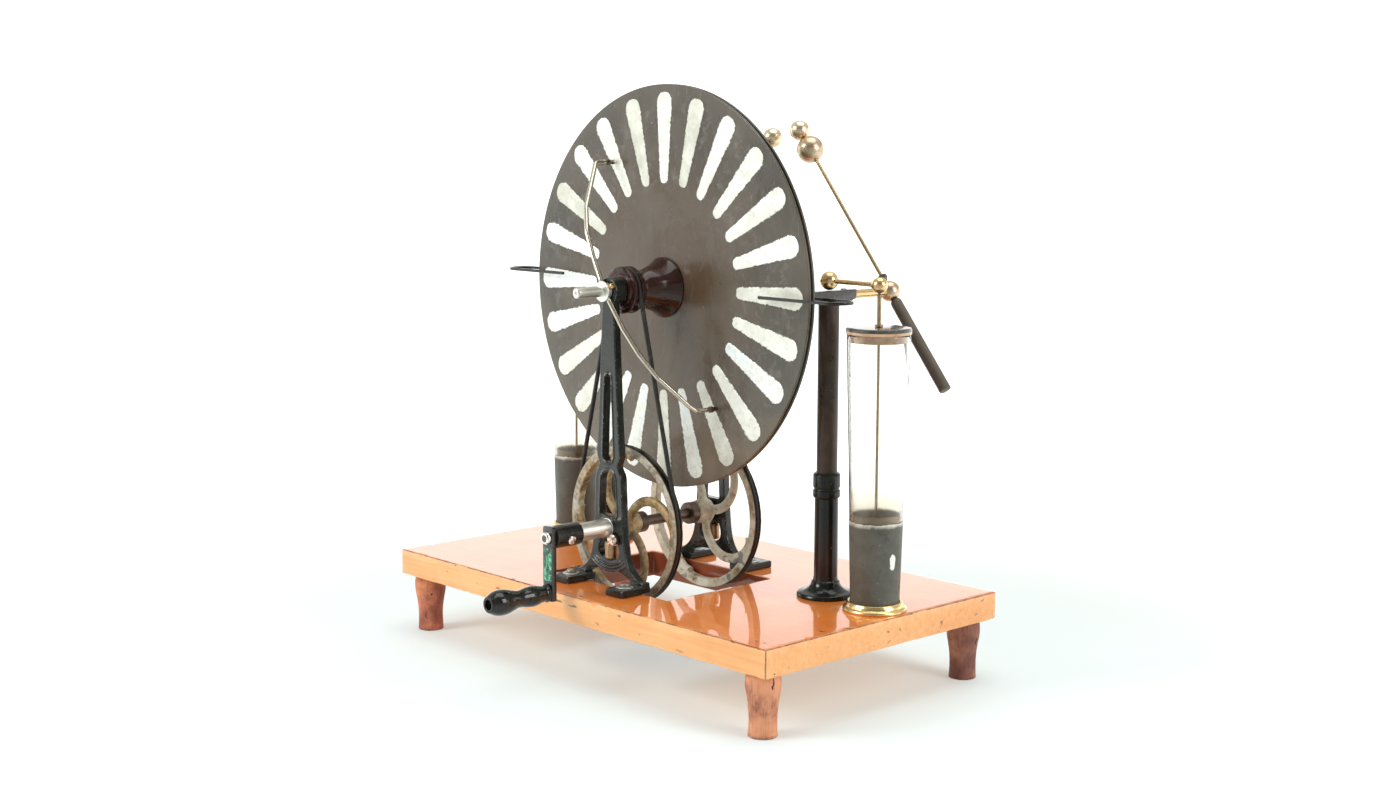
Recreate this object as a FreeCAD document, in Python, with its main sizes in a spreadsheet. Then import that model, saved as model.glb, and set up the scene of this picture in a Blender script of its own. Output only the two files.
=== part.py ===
import FreeCAD, Part
import Sketcher
import math
import os

# ---------------------------------------------------------------------------
# Hand-cranked influence machine: two counter-rotating ebonite discs on one
# fixed spindle, two cast frames, a crank axle with two belt wheels, two
# insulating columns with collecting combs and dischargers, and two Leyden
# jars, all on a varnished board with a window for the wheels.
#
# Frame: millimetres, +Z up, +X along the board and in the plane of the discs,
# +Y along the spindle away from the crank.  z = 0 is the underside of the
# feet; y = 0 is half way between the crank handle's end and the rear edge of
# the board.  Most positions below are given from the board's centre line
# ("yb") and from the board's top face ("zb").
# ---------------------------------------------------------------------------

V = FreeCAD.Vector
doc = FreeCAD.newDocument("influence_machine")
sheet = doc.addObject("Spreadsheet::Sheet", "Params")


class Dim:
    """A size that knows both its value and the expression that gives it."""

    def __init__(self, value, expr):
        self.v = float(value)
        self.e = expr

    def __add__(self, o):
        o = dim(o)
        return Dim(self.v + o.v, "(" + self.e + " + " + o.e + ")")

    def __radd__(self, o):
        return dim(o) + self

    def __sub__(self, o):
        o = dim(o)
        return Dim(self.v - o.v, "(" + self.e + " - " + o.e + ")")

    def __rsub__(self, o):
        return dim(o) - self

    def __mul__(self, o):
        o = dim(o)
        return Dim(self.v * o.v, "(" + self.e + " * " + o.e + ")")

    def __rmul__(self, o):
        return dim(o) * self

    def __truediv__(self, o):
        o = dim(o)
        return Dim(self.v / o.v, "(" + self.e + " / " + o.e + ")")

    def __neg__(self):
        return dim(-1.0) * self


def dim(x):
    if isinstance(x, Dim):
        return x
    x = float(x)
    text = ("%.6f" % abs(x)).rstrip("0").rstrip(".")
    if text == "":
        text = "0"
    return Dim(x, text if x >= 0 else "(0 - " + text + ")")


row = [0]


def par(alias, value):
    row[0] += 1
    cell = "A%d" % row[0]
    sheet.set(cell, "%.6f" % value)
    sheet.setAlias(cell, alias)
    return Dim(value, "Params." + alias)


# --- driving sizes ---------------------------------------------------------
board_len = par("board_length", 622)
board_dep = par("board_depth", 358)
board_thk = par("board_thickness", 30)
foot_ht = par("foot_height", 67)
foot_rad = par("foot_top_radius", 18.3)
foot_in_x = par("foot_inset_length", 26)
foot_in_y = par("foot_inset_depth", 23)
yshift = par("centre_line_offset", 51.5)
win_half = par("window_half_length", 98)
win_front = par("window_front_edge", 116)
win_back = par("window_back_edge", 39)

disc_rad = par("disc_radius", 225)
disc_thk = par("disc_thickness", 3)
disc_gap = par("disc_spacing", 3)
disc_face = par("front_disc_face_setback", 33)
spin_ht = par("spindle_height", 328)
spin_rad = par("spindle_radius", 6)
spin_front = par("spindle_front_end", 160.5)
run_fit = par("running_clearance", 0.05)
foil_thk = par("sector_foil_thickness", 0.3)
sec_in = par("sector_inner_radius", 115)
sec_out = par("sector_outer_radius", 217)
sec_rin = par("sector_inner_half_width", 7)
sec_rout = par("sector_outer_half_width", 13)

boss_rim = par("boss_flange_radius", 33.8)
pul_rad = par("pulley_flange_radius", 26)
pul_groove = par("pulley_groove_radius", 20.5)
belt_rad = par("belt_cord_radius", 2.5)
belt_gap = par("belt_clearance", 0.3)
belt_front = par("front_belt_plane", 89.7)
belt_back = par("rear_belt_plane", 30.5)

axle_ht = par("crank_axle_height", 65.5)
axle_rad = par("crank_axle_radius", 6)
wheel_rad = par("wheel_flange_radius", 89.5)
wheel_groove = par("wheel_groove_radius", 84)
wheel_in = par("wheel_rim_inner_radius", 79.3)
wheel_wid = par("wheel_rim_width", 10)
spoke_pitch = par("spoke_arc_centre_distance", 42)
spoke_out = par("spoke_arc_outer_radius", 43.5)
spoke_inn = par("spoke_arc_inner_radius", 31.5)

web_thk = par("frame_web_thickness", 9.5)
web_front = par("front_frame_outer_face", 115.5)
web_back = par("rear_frame_inner_face", 40)
eye_rad = par("frame_eye_radius", 14.5)
pad_thk = par("frame_pad_thickness", 8)
clamp_x = par("clamp_screw_offset", 12.2)
clamp_z = par("clamp_screw_height", 53.5)

arm_len = par("crank_throw", 60.5)
boss_r = par("crank_boss_radius", 12.5)
sleeve_r = par("bearing_sleeve_radius", 10)
handle_end = par("handle_end_distance", 282)

col_x = par("column_offset_x", 195)
col_y = par("right_column_offset_y", 29)
lcol_x = par("left_column_offset_x", 193)
lcol_y = par("left_column_offset_y", 49)
col_r = par("column_rod_radius", 11.35)
col_top = par("column_top_height", 320.5)
lift = par("left_side_raise", 8)
bar_ht = par("conductor_bar_height", 12.5)
piv_y = par("discharger_plane", 127)
piv_z = par("discharger_pivot_height", 327)
piv_r = par("pivot_ball_radius", 11.5)
rod_r = par("discharger_rod_radius", 2)
big_r = par("large_ball_radius", 15.5)
small_r = par("small_ball_radius", 11.5)
tube_r = par("conductor_tube_radius", 4.75)

jar_x = par("right_jar_offset_x", 272.9)
jar_y = par("right_jar_offset_y", 22)
ljar_x = par("left_jar_offset_x", 265)
ljar_y = par("left_jar_offset_y", 57)
jar_rb = par("jar_base_radius", 25.5)
jar_rt = par("jar_rim_radius", 33.5)
jar_wall = par("jar_wall_thickness", 2.2)
jar_ht = par("jar_rim_height", 293)
foil_ht = par("outer_foil_height", 96)
ring_r = par("jar_ring_radius", 34)
link_z = par("link_height", 343.5)

zt = foot_ht + board_thk          # height of the board's top face
doc.recompute()

nodes = []
problems = []
ROT_Y = FreeCAD.Rotation(V(1, 0, 0), -90)     # local +Z becomes +Y
ROT_NY = FreeCAD.Rotation(V(1, 0, 0), 90)     # local +Z becomes -Y


def place(obj, x, y, z, rot=None):
    x, y, z = dim(x), dim(y), dim(z)
    obj.Placement = FreeCAD.Placement(V(x.v, y.v, z.v), rot or FreeCAD.Rotation())
    obj.setExpression("Placement.Base.x", x.e)
    obj.setExpression("Placement.Base.y", y.e)
    obj.setExpression("Placement.Base.z", z.e)


def keep(obj, name):
    obj.Label = name
    nodes.append((name, obj))
    return obj


def plane(body, role):
    return [o for o in body.Origin.OriginFeatures if o.Role == role][0]


def new_sketch(body, name, role):
    sk = body.newObject("Sketcher::SketchObject", name)
    sk.AttachmentSupport = [(plane(body, role), "")]
    sk.MapMode = "FlatFace"
    return sk


def loop(sk, pts):
    """Closed outline.  Each item is (x, y) for a straight side to the next
    vertex, or (x, y, radius, side) for an arc to the next vertex that bulges
    to the left (+1) or right (-1) of the way along."""
    items = [tuple([dim(p[0]), dim(p[1])] + list(p[2:])) for p in pts]
    n = len(items)
    first = len(sk.Geometry)
    ends = []
    for i in range(n):
        p, q = items[i], items[(i + 1) % n]
        a, b = V(p[0].v, p[1].v, 0), V(q[0].v, q[1].v, 0)
        if len(p) > 2:
            rad, side = dim(p[2]), p[3]
            c = b - a
            half = c.Length / 2.0
            nrm = V(-c.y, c.x, 0)
            nrm.normalize()
            nrm = nrm * side
            depth = math.sqrt(max(rad.v * rad.v - half * half, 0.0))
            ctr = (a + b) * 0.5 - nrm * depth
            # sketch arcs run counter-clockwise about +Z
            ta = math.atan2(a.y - ctr.y, a.x - ctr.x)
            tb = math.atan2(b.y - ctr.y, b.x - ctr.x)
            swapped = side > 0
            if swapped:
                ta, tb = tb, ta
            if tb < ta:
                tb += 2 * math.pi
            g = sk.addGeometry(Part.ArcOfCircle(Part.Circle(ctr, V(0, 0, 1), rad.v), ta, tb), False)
            ends.append((g, 2 if swapped else 1, 1 if swapped else 2, rad))
        else:
            g = sk.addGeometry(Part.LineSegment(a, b), False)
            ends.append((g, 1, 2, None))
    for i in range(n):
        g, s, e, rad = ends[i]
        g2, s2, e2, r2 = ends[(i + 1) % n]
        sk.addConstraint(Sketcher.Constraint("Coincident", g, e, g2, s2))
    for i in range(n):
        g, s, e, rad = ends[i]
        for kind, d in (("DistanceX", items[i][0]), ("DistanceY", items[i][1])):
            k = sk.addConstraint(Sketcher.Constraint(kind, g, s, d.v))
            if "Params" in d.e:
                sk.setExpression("Constraints[%d]" % k, d.e)
        if rad is not None:
            k = sk.addConstraint(Sketcher.Constraint("Radius", g, rad.v))
            if "Params" in rad.e:
                sk.setExpression("Constraints[%d]" % k, rad.e)
    return first


def ring(sk, x, y, r):
    x, y, r = dim(x), dim(y), dim(r)
    g = sk.addGeometry(Part.Circle(V(x.v, y.v, 0), V(0, 0, 1), r.v), False)
    for c, d in ((Sketcher.Constraint("DistanceX", g, 3, x.v), x),
                 (Sketcher.Constraint("DistanceY", g, 3, y.v), y),
                 (Sketcher.Constraint("Radius", g, r.v), r)):
        k = sk.addConstraint(c)
        if "Params" in d.e:
            sk.setExpression("Constraints[%d]" % k, d.e)
    return g


def body(name):
    b = doc.addObject("PartDesign::Body", name + "_body")
    return b


def add_turned(b, name, pts):
    sk = new_sketch(b, name + "_profile", "XZ_Plane")
    loop(sk, pts)
    rv = b.newObject("PartDesign::Revolution", name + "_turned")
    rv.Profile = sk
    rv.ReferenceAxis = (sk, ["V_Axis"])
    rv.Angle = 360
    sk.Visibility = False
    return rv


def add_groove(b, name, pts):
    """Cuts a ring of the given half section out of the body."""
    sk = new_sketch(b, name + "_profile", "XZ_Plane")
    loop(sk, pts)
    gv = b.newObject("PartDesign::Groove", name + "_cut")
    gv.Profile = sk
    gv.ReferenceAxis = (sk, ["V_Axis"])
    gv.Angle = 360
    sk.Visibility = False
    return gv


def turned(name, pts, x=0, y=0, z=0, rot=None):
    """A turned piece: pts are (radius, height) round the body's own Z axis."""
    b = body(name)
    add_turned(b, name, pts)
    place(b, x, y, z, rot)
    return b


def add_pad(b, name, role, loops, length, rings=(), reverse=False, mid=False):
    sk = new_sketch(b, name + "_outline", role)
    for pts in loops:
        loop(sk, pts)
    for c in rings:
        ring(sk, *c)
    pad = b.newObject("PartDesign::Pad", name + "_pad")
    pad.Profile = sk
    length = dim(length)
    pad.Length = length.v
    pad.setExpression("Length", length.e)
    pad.Reversed = reverse
    if mid:
        pad.SideType = "Symmetric"
    sk.Visibility = False
    return pad


def add_pocket(b, name, role, loops, length, rings=(), reverse=False, offset=None):
    sk = new_sketch(b, name + "_outline", role)
    if offset is not None:
        off = dim(offset)
        sk.AttachmentOffset = FreeCAD.Placement(V(0, 0, off.v), FreeCAD.Rotation())
        sk.setExpression("AttachmentOffset.Base.z", off.e)
    for pts in loops:
        loop(sk, pts)
    for c in rings:
        ring(sk, *c)
    p = b.newObject("PartDesign::Pocket", name + "_pocket")
    p.Profile = sk
    length = dim(length)
    p.Length = length.v
    p.setExpression("Length", length.e)
    p.Reversed = reverse
    sk.Visibility = False
    return p


def cyl(name, r, h, x, y, z, rot=None):
    c = doc.addObject("Part::Cylinder", name)
    r, h = dim(r), dim(h)
    c.Radius, c.Height = r.v, h.v
    c.setExpression("Radius", r.e)
    c.setExpression("Height", h.e)
    place(c, x, y, z, rot)
    return c


def ball(name, r, x, y, z, rot=None):
    s = doc.addObject("Part::Sphere", name)
    r = dim(r)
    s.Radius = r.v
    s.setExpression("Radius", r.e)
    place(s, x, y, z, rot)
    return s


def box(name, lx, ly, lz, x, y, z):
    s = doc.addObject("Part::Box", name)
    lx, ly, lz = dim(lx), dim(ly), dim(lz)
    s.Length, s.Width, s.Height = lx.v, ly.v, lz.v
    s.setExpression("Length", lx.e)
    s.setExpression("Width", ly.e)
    s.setExpression("Height", lz.e)
    place(s, x, y, z)
    return s


def cut(name, a, tool):
    c = doc.addObject("Part::Cut", name)
    c.Base, c.Tool = a, tool
    return c


def fuse(name, shapes):
    c = doc.addObject("Part::MultiFuse", name)
    c.Shapes = shapes
    return c


def group(name, objs):
    c = doc.addObject("Part::Compound", name + "_group")
    c.Links = objs
    return keep(c, name)


def towards(direction):
    return FreeCAD.Rotation(V(0, 0, 1), direction)


# ===========================================================================
# Board and feet
# ===========================================================================
foot_x = board_len / 2 - foot_in_x
foot_y = board_dep / 2 - foot_in_y

bb = body("baseboard")
add_pad(bb, "slab", "XY_Plane",
        [[(-board_len / 2, -board_dep / 2), (board_len / 2, -board_dep / 2),
          (board_len / 2, board_dep / 2), (-board_len / 2, board_dep / 2)],
         [(-win_half, -win_front), (win_half, -win_front),
          (win_half, win_back), (-win_half, win_back)]],
        board_thk)
# mortises for the feet, from below
add_pocket(bb, "mortise", "XY_Plane", [], 14.5,
           rings=[(sx * foot_x, sy * foot_y, 8.1) for sx in (-1, 1) for sy in (-1, 1)],
           reverse=True)
# sockets for the tenons of the two columns, from above
add_pocket(bb, "tenon_socket", "XY_Plane", [], 18.5,
           rings=[(col_x, col_y, 9.05), (-lcol_x, lcol_y, 9.05)],
           offset=board_thk)
# pilot holes of the frame screws
add_pocket(bb, "pilot", "XY_Plane", [], 19,
           rings=[(sx * 46.0, y0, 2.05) for sx in (-1, 1) for y0 in (-131.0, 62.0)],
           offset=board_thk)
doc.recompute()
cham = bb.newObject("PartDesign::Chamfer", "arris")
names = []
for i, e in enumerate(bb.Shape.Edges):
    bbx = e.BoundBox
    outer = (abs(abs(bbx.XMin) - 311) < 1e-3 and abs(bbx.XMax - bbx.XMin) < 1e-3) or \
            (abs(abs(bbx.YMin) - 179) < 1e-3 and abs(bbx.YMax - bbx.YMin) < 1e-3)
    if outer:
        names.append("Edge%d" % (i + 1))
base_feature = [o for o in bb.Group if o.Name.startswith("pilot_pocket")][0]
cham.Base = (base_feature, names)
cham.Size = 1.0
place(bb, 0, yshift, foot_ht)
keep(bb, "baseboard")

feet = []
for i, (sx, sy) in enumerate(((-1, -1), (1, -1), (1, 1), (-1, 1))):
    feet.append(turned("foot%d" % i, [
        (0, 0), (14.6, 0), (15.2, 1.0), (14.6, 8), (14.3, 16), (14.8, 26), (16.4, 38),
        (foot_rad - 0.5, 47), (foot_rad, 54), (foot_rad - 0.4, 62), (foot_rad - 1.4, foot_ht),
        (8, foot_ht), (8, foot_ht + 14), (0, foot_ht + 14)],
        sx * foot_x, sy * foot_y + yshift, 0))
group("feet", feet)

# ===========================================================================
# Cast frames
# ===========================================================================


def frame_loops():
    h = spin_ht
    outer = [(58, pad_thk - 0.1), (50, 13), (38, 21), (30, 33), (26.5, 48), (23.5, 80), (21.8, 123),
             (15.4, 133), (15.4, 136.5), (19.3, 149), (13.8, 231), (9.6, 306), (9.4, h - 4)]
    inner = [(40, pad_thk - 0.1), (32, 13.5), (18, 17.5), (0, 19)]
    pts = [(x, z) for x, z in outer] + [(-x, z) for x, z in reversed(outer)]
    pts += [(-x, z) for x, z in inner] + [(x, z) for x, z in reversed(inner[:-1])]
    low = [(14.5, 51), (17, 38), (10, 30.5), (0, 28), (-10, 30.5), (-17, 38), (-14.5, 51)]
    mid = [(14.3, 79.2), (12.1, 119.5, 12.2, -1), (-12.1, 119.5), (-14.3, 79.2)]
    top = [(8.8, 146), (4.9, 233, 5.0, -1), (-4.9, 233), (-8.8, 146, 8.9, -1)]
    return [pts, low, mid, top]


def cast_frame(name, face, sign):
    """face: the web's inner face; the web and the pads go outwards from it."""
    b = body(name)
    # web, from the inner face outwards
    add_pad(b, name + "_web", "XZ_Plane", frame_loops(), web_thk, reverse=(sign > 0))
    # screw pads standing on the board
    pads = []
    for s in (-1, 1):
        x0, x1 = sorted((s * 32.0, s * 60.0))
        pads.append([(x0, sign * 1.0 * 0), (x1, 0), (x1, sign * 42.0), (x0, sign * 42.0)])
    add_pad(b, name + "_pads", "XY_Plane", pads, pad_thk)
    # bearing boss of the crank axle and its bore
    bo = add_pad(b, name + "_boss", "XZ_Plane", [], web_thk + 1.5,
                 rings=[(0, axle_ht, 13)], reverse=(sign > 0))
    # eye at the top, longer than the web
    add_pad(b, name + "_eye", "XZ_Plane", [], (18.4 if sign > 0 else web_thk + 0.0),
            rings=[(0, spin_ht, eye_rad)], reverse=(sign > 0))
    if sign < 0:
        add_pad(b, name + "_eye_in", "XZ_Plane", [], 7.0, rings=[(0, spin_ht, eye_rad)], reverse=True)
    # bores for spindle and bush, right through
    sk = new_sketch(b, name + "_bores", "XZ_Plane")
    ring(sk, 0, spin_ht, spin_rad + 0.05)
    ring(sk, 0, axle_ht, 7.55)
    ring(sk, clamp_x, clamp_z, 2.05)
    p = b.newObject("PartDesign::Pocket", name + "_bore_pocket")
    p.Profile = sk
    p.SideType = "Symmetric"
    p.Length = 80
    # holes for the screws
    sk = new_sketch(b, name + "_screw_holes", "XY_Plane")
    ring(sk, 46, sign * 22.0 + (-3.0 if sign < 0 else 0.0), 2.3)
    ring(sk, -46, sign * 22.0 + (-3.0 if sign < 0 else 0.0), 2.3)
    p = b.newObject("PartDesign::Pocket", name + "_screw_pocket")
    p.Profile = sk
    p.SideType = "Symmetric"
    p.Length = 30
    place(b, 0, yshift + face, zt)
    return keep(b, name)


cast_frame("front_frame", -web_front + web_thk, -1)
cast_frame("rear_frame", web_back, 1)

# round-headed wood screws of the frames
screws = []
for i, (sx, yy) in enumerate(((-1, -131.0), (1, -131.0), (-1, 62.0), (1, 62.0))):
    screws.append(turned("frame_screw%d" % i, [
        (0, -18), (2, -15), (2, pad_thk + 0.05), (6.2, pad_thk + 0.05), (6.0, pad_thk + 1.6),
        (4.8, pad_thk + 3.2), (2.8, pad_thk + 4.2), (0, pad_thk + 4.5)],
        sx * 46.0, yshift + yy, zt))
group("frame_screws", screws)

# ===========================================================================
# Spindle and the bushes of the crank axle
# ===========================================================================
spin_back = spin_front - 2 * (disc_face - disc_thk - disc_gap / 2)
sp = turned("spindle", [
    (0, -spin_front), (spin_rad - 1.0, -spin_front), (spin_rad, -spin_front + 1.0),
    (spin_rad, spin_back - 1.0), (spin_rad - 1.0, spin_back), (0, spin_back)],
    0, yshift, zt + spin_ht, ROT_Y)
keep(sp, "spindle")

bush_f = turned("front_bush", [
    (axle_rad + run_fit, -159.5), (sleeve_r - 0.8, -159.5), (sleeve_r, -158.7), (sleeve_r, -117.3),
    (7.5, -117.3), (7.5, -105.0), (axle_rad + run_fit, -105.0)],
    0, yshift, zt + axle_ht, ROT_Y)
bush_r = turned("rear_bush", [
    (axle_rad + run_fit, 39.4), (7.5, 39.4), (7.5, 51.3), (9.5, 51.3), (9.5, 54.0), (axle_rad + run_fit, 54.0)],
    0, yshift, zt + axle_ht, ROT_Y)
group("axle_bushes", [bush_f, bush_r])

# pillars that carry the bearing bosses, standing on the stretcher
pillars = []
for i, yy in enumerate((-110.75, 44.75)):
    pillars.append(turned("pillar%d" % i, [
        (0, 28.6), (2.0, 28.6), (2.0, 30.5), (6.6, 30.5), (7.3, 31.3), (7.3, 46.5), (6.4, 48.5), (3.2, 49.5),
        (3.2, 50.95), (0, 50.95)],
        0, yshift + yy, zt))
group("bearing_pillars", pillars)

# slotted clamp screws of the bearings, at the foot of the crossbar
clamps = []
for i, (yy, rot, sgn) in enumerate(((-web_front, ROT_NY, -1), (web_back + web_thk, ROT_Y, 1))):
    c = turned("clamp_screw%d" % i, [
        (0, -9.0), (2.0, -9.0), (2.0, 0.03), (3.3, 0.03), (3.3, 1.56), (6.4, 1.56), (6.4, 2.4), (6.1, 2.6), (6.2, 6.2),
        (5.6, 7.5), (3.4, 8.2), (0, 8.4)],
        clamp_x, yshift + yy, zt + clamp_z, rot)
    slot = box("clamp_slot%d" % i, 14, 4.0, 1.5, 0, 0, 0)
    place(slot, clamp_x - 7.0, yshift + yy + (6.4 if sgn > 0 else -10.4), zt + clamp_z - 0.75)
    clamps.append(cut("clamp%d_cut" % i, c, slot))
group("bearing_clamp_screws", clamps)

# ===========================================================================
# Discs, foil sectors and turned bosses
# ===========================================================================


def disc(name, face, x=0):
    b = body(name)
    add_turned(b, name, [
        (9.0, 0), (disc_rad - 0.6, 0), (disc_rad, 0.6), (disc_rad, disc_thk - 0.6),
        (disc_rad - 0.6, disc_thk), (9.0, disc_thk)])
    place(b, 0, yshift + face, zt + spin_ht, ROT_Y)
    return keep(b, name)


disc("front_disc", -disc_face)
disc("rear_disc", -disc_face + disc_thk + disc_gap)


def sectors(name, face):
    c1 = sec_in + sec_rin
    c2 = sec_out - sec_rout
    s = (sec_rout.v - sec_rin.v) / (c2.v - c1.v)
    c = math.sqrt(1 - s * s)
    b = body(name)
    # one tapered, round-ended foil at the top of the disc
    sk = new_sketch(b, name + "_foil", "XY_Plane")
    loop(sk, [(sec_rin * c, c1 - sec_rin * s), (sec_rout * c, c2 - sec_rout * s, sec_rout, -1),
              (0, sec_out, sec_rout, -1), (-sec_rout * c, c2 - sec_rout * s),
              (-sec_rin * c, c1 - sec_rin * s, sec_rin, -1), (0, sec_in, sec_rin, -1)])
    pad = b.newObject("PartDesign::Pad", name + "_pad")
    pad.Profile = sk
    pad.Length = foil_thk.v
    pad.setExpression("Length", foil_thk.e)
    doc.recompute()
    pat = b.newObject("PartDesign::PolarPattern", name + "_pattern")
    pat.Originals = [pad]
    pat.Axis = (sk, ["N_Axis"])
    pat.Angle = 360
    pat.Occurrences = 24
    b.Tip = pat
    place(b, 0, yshift + face, zt + spin_ht, ROT_Y)
    return keep(b, name)


sectors("front_sectors", -disc_face - foil_thk)
sectors("rear_sectors", -disc_face + disc_thk * 2 + disc_gap)


def boss(name, d, face, groove, sgn):
    """Turned hub: flange against the disc, neck, grooved pulley, front collar.
    Heights are distances from the disc's outer face, away from the disc."""
    g = groove
    pts = [(spin_rad + run_fit, -disc_thk + 0.3), (8.9, -disc_thk + 0.3), (8.9, 0.02),
           (boss_rim, 0.02), (boss_rim, 2), (31.6, 5.5), (28.6, 11), (26, 17.5), (23.6, 24),
           (20.6, 30.5), (17.6, 36), (15.8, g - 13.2), (15.8, g - 9.6), (23.6, g - 8.2),
           (pul_rad, g - 6.6), (pul_rad, g - 4.6), (pul_groove, g - 1.4), (pul_groove, g + 1.4),
           (pul_rad, g + 4.6), (pul_rad, g + 6.4), (23.8, g + 7.4), (18.4, g + 7.4),
           (17.8, g + 8.5), (spin_rad + run_fit, g + 8.5)]
    rot = ROT_NY if sgn < 0 else ROT_Y
    b = turned(name, pts, 0, yshift + face, zt + spin_ht, rot)
    return keep(b, name)


boss("front_boss", 0, -disc_face, belt_front - disc_face, -1)
rear_face = -disc_face + disc_thk * 2 + disc_gap
boss("rear_boss", 0, rear_face, belt_back - rear_face, 1)

# ===========================================================================
# Crank axle, wheels, crank and handle
# ===========================================================================
ax = turned("crank_axle", [
    (0, -206.5), (axle_rad - 2.2, -206.5), (axle_rad - 2.0, -206.0), (axle_rad - 2.0, -195.45), (axle_rad, -195.45),
    (axle_rad, 61.0), (axle_rad - 1.0, 62.0), (0, 62.0)],
    0, yshift, zt + axle_ht, ROT_Y)
keep(ax, "crank_axle")


def wheel(name, mid, hub_in, hub_out, first, flip):
    """Belt wheel with four curved arms.  Local Z is the axle (+Y of the
    machine), local y points down."""
    b = body(name)
    w = wheel_wid / 2
    add_turned(b, name + "_rim", [(wheel_in, -w), (wheel_rad, -w), (wheel_rad, w), (wheel_in, w)])
    add_turned(b, name + "_hub", [
        (axle_rad + 0.02, -hub_in), (11.0, -hub_in), (12.2, -hub_in + 1.2), (13.6, -w), (13.6, w),
        (12.2, hub_out - 1.2), (11.0, hub_out), (axle_rad + 0.02, hub_out)])
    # an arm is half of a flat ring standing between hub and rim
    a0 = math.radians(first)
    sgn = 1.0 if flip else -1.0
    cx, cy = spoke_pitch * math.cos(a0), spoke_pitch * math.sin(a0)
    start = a0 + math.pi - sgn * math.radians(8)     # towards the hub
    end = a0 + sgn * math.radians(6)                 # towards the rim

    def at(r, t):
        return cx + r * math.cos(t), cy + r * math.sin(t)

    oa, ob = at(spoke_out, start), at(spoke_out, end)
    ia, ib = at(spoke_inn, start), at(spoke_inn, end)
    side = 1 if flip else -1
    sk = new_sketch(b, name + "_arm", "XY_Plane")
    loop(sk, [(oa[0], oa[1], spoke_out, -side), (ob[0], ob[1]),
              (ib[0], ib[1], spoke_inn, side), (ia[0], ia[1])])
    pad = b.newObject("PartDesign::Pad", name + "_arm_pad")
    pad.Profile = sk
    pad.Length = 7
    pad.SideType = "Symmetric"
    doc.recompute()
    pat = b.newObject("PartDesign::PolarPattern", name + "_arms")
    pat.Originals = [pad]
    pat.Axis = (sk, ["N_Axis"])
    pat.Angle = 360
    pat.Occurrences = 4
    b.Tip = pat
    doc.recompute()
    # the belt groove is cut after the arms, whose ends run into the rim
    add_groove(b, name + "_belt_groove", [
        (wheel_groove, -2.1), (wheel_rad, -w + 1.1), (wheel_rad + 3, -w + 1.1),
        (wheel_rad + 3, w - 1.1), (wheel_rad, w - 1.1), (wheel_groove, 2.1)])
    doc.recompute()
    # the axle's bore is cut again, because the arms run into it
    sk = new_sketch(b, name + "_bore", "XY_Plane")
    ring(sk, 0, 0, axle_rad + 0.02)
    p = b.newObject("PartDesign::Pocket", name + "_bore_pocket")
    p.Profile = sk
    p.SideType = "Symmetric"
    p.Length = 60
    place(b, 0, yshift + mid, zt + axle_ht, ROT_Y)
    return keep(b, name)


wheel("front_wheel", -belt_front, 13.0, 15.5, -9, True)
wheel("rear_wheel", belt_back, 16.5, 6.5, -16, False)

collars = []
for i, (y0, y1, r) in enumerate(((-73.8, -64.0, 11.8), (3.2, 13.6, 12.6), (54.5, 60.0, 10.0))):
    collars.append(turned("collar%d" % i, [
        (axle_rad + 0.02, y0), (r - 1.0, y0), (r, y0 + 1.0), (r, y1 - 1.0), (r - 1.0, y1), (axle_rad + 0.02, y1)],
        0, yshift, zt + axle_ht, ROT_Y))
group("wheel_collars", collars)

cb = turned("crank_boss", [
    (axle_rad + 0.02, -195.4), (boss_r - 0.8, -195.4), (boss_r, -194.6), (boss_r, -161.0), (boss_r - 0.8, -160.2),
    (axle_rad + 0.02, -160.2)], 0, yshift, zt + axle_ht, ROT_Y)
# cross hole for the set screw, which points outwards and a little down
SET_ROT = FreeCAD.Rotation(V(0, 1, 0), 105)
hole = cyl("crank_boss_hole", 2.55, 16, 0, yshift - 178.0, zt + axle_ht, SET_ROT)
keep(cut("crank_boss_cut", cb, hole), "crank_boss")

ss = turned("boss_screw", [
    (0, 6.4), (2.5, 6.4), (2.5, 12.7), (4.9, 12.7), (5.0, 14.4), (4.0, 15.4), (0, 15.8)],
    0, yshift - 178.0, zt + axle_ht, SET_ROT)
nut = turned("crank_nut", [
    (axle_rad - 1.9, -206.0), (6.2, -206.0), (7.0, -205.2), (7.0, -201.8), (6.8, -201.6), (axle_rad - 1.9, -201.6)],
    0, yshift, zt + axle_ht, ROT_Y)
group("crank_screws", [ss, nut])

arm = body("crank_arm")
add_pad(arm, "crank_arm_bar", "XZ_Plane",
        [[(-3.4, 12.6), (3.4, 12.6, 5.6, 1), (8.3, 7.0), (8.1, -arm_len - 3.6, 5.6, 1),
          (3.4, -arm_len - 9.2), (-3.4, -arm_len - 9.2, 5.6, 1), (-8.1, -arm_len - 3.6), (-8.3, 7.0, 5.6, 1)]],
        6.0, rings=[(0, 0, axle_rad - 1.95), (0, -arm_len, 3.05)])
place(arm, 0, yshift - 195.5, zt + axle_ht)
keep(arm, "crank_arm")

hz = axle_ht - arm_len
hp = turned("handle_pin", [
    (0, -(handle_end - 7.5)), (4.6, -(handle_end - 7.5)), (5.0, -(handle_end - 8.2)), (5.0, -(handle_end - 10.0)),
    (3.0, -(handle_end - 10.0)), (3.0, -195.6), (0, -195.6)],
    0, yshift, zt + hz, ROT_Y)
keep(hp, "handle_pin")

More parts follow.
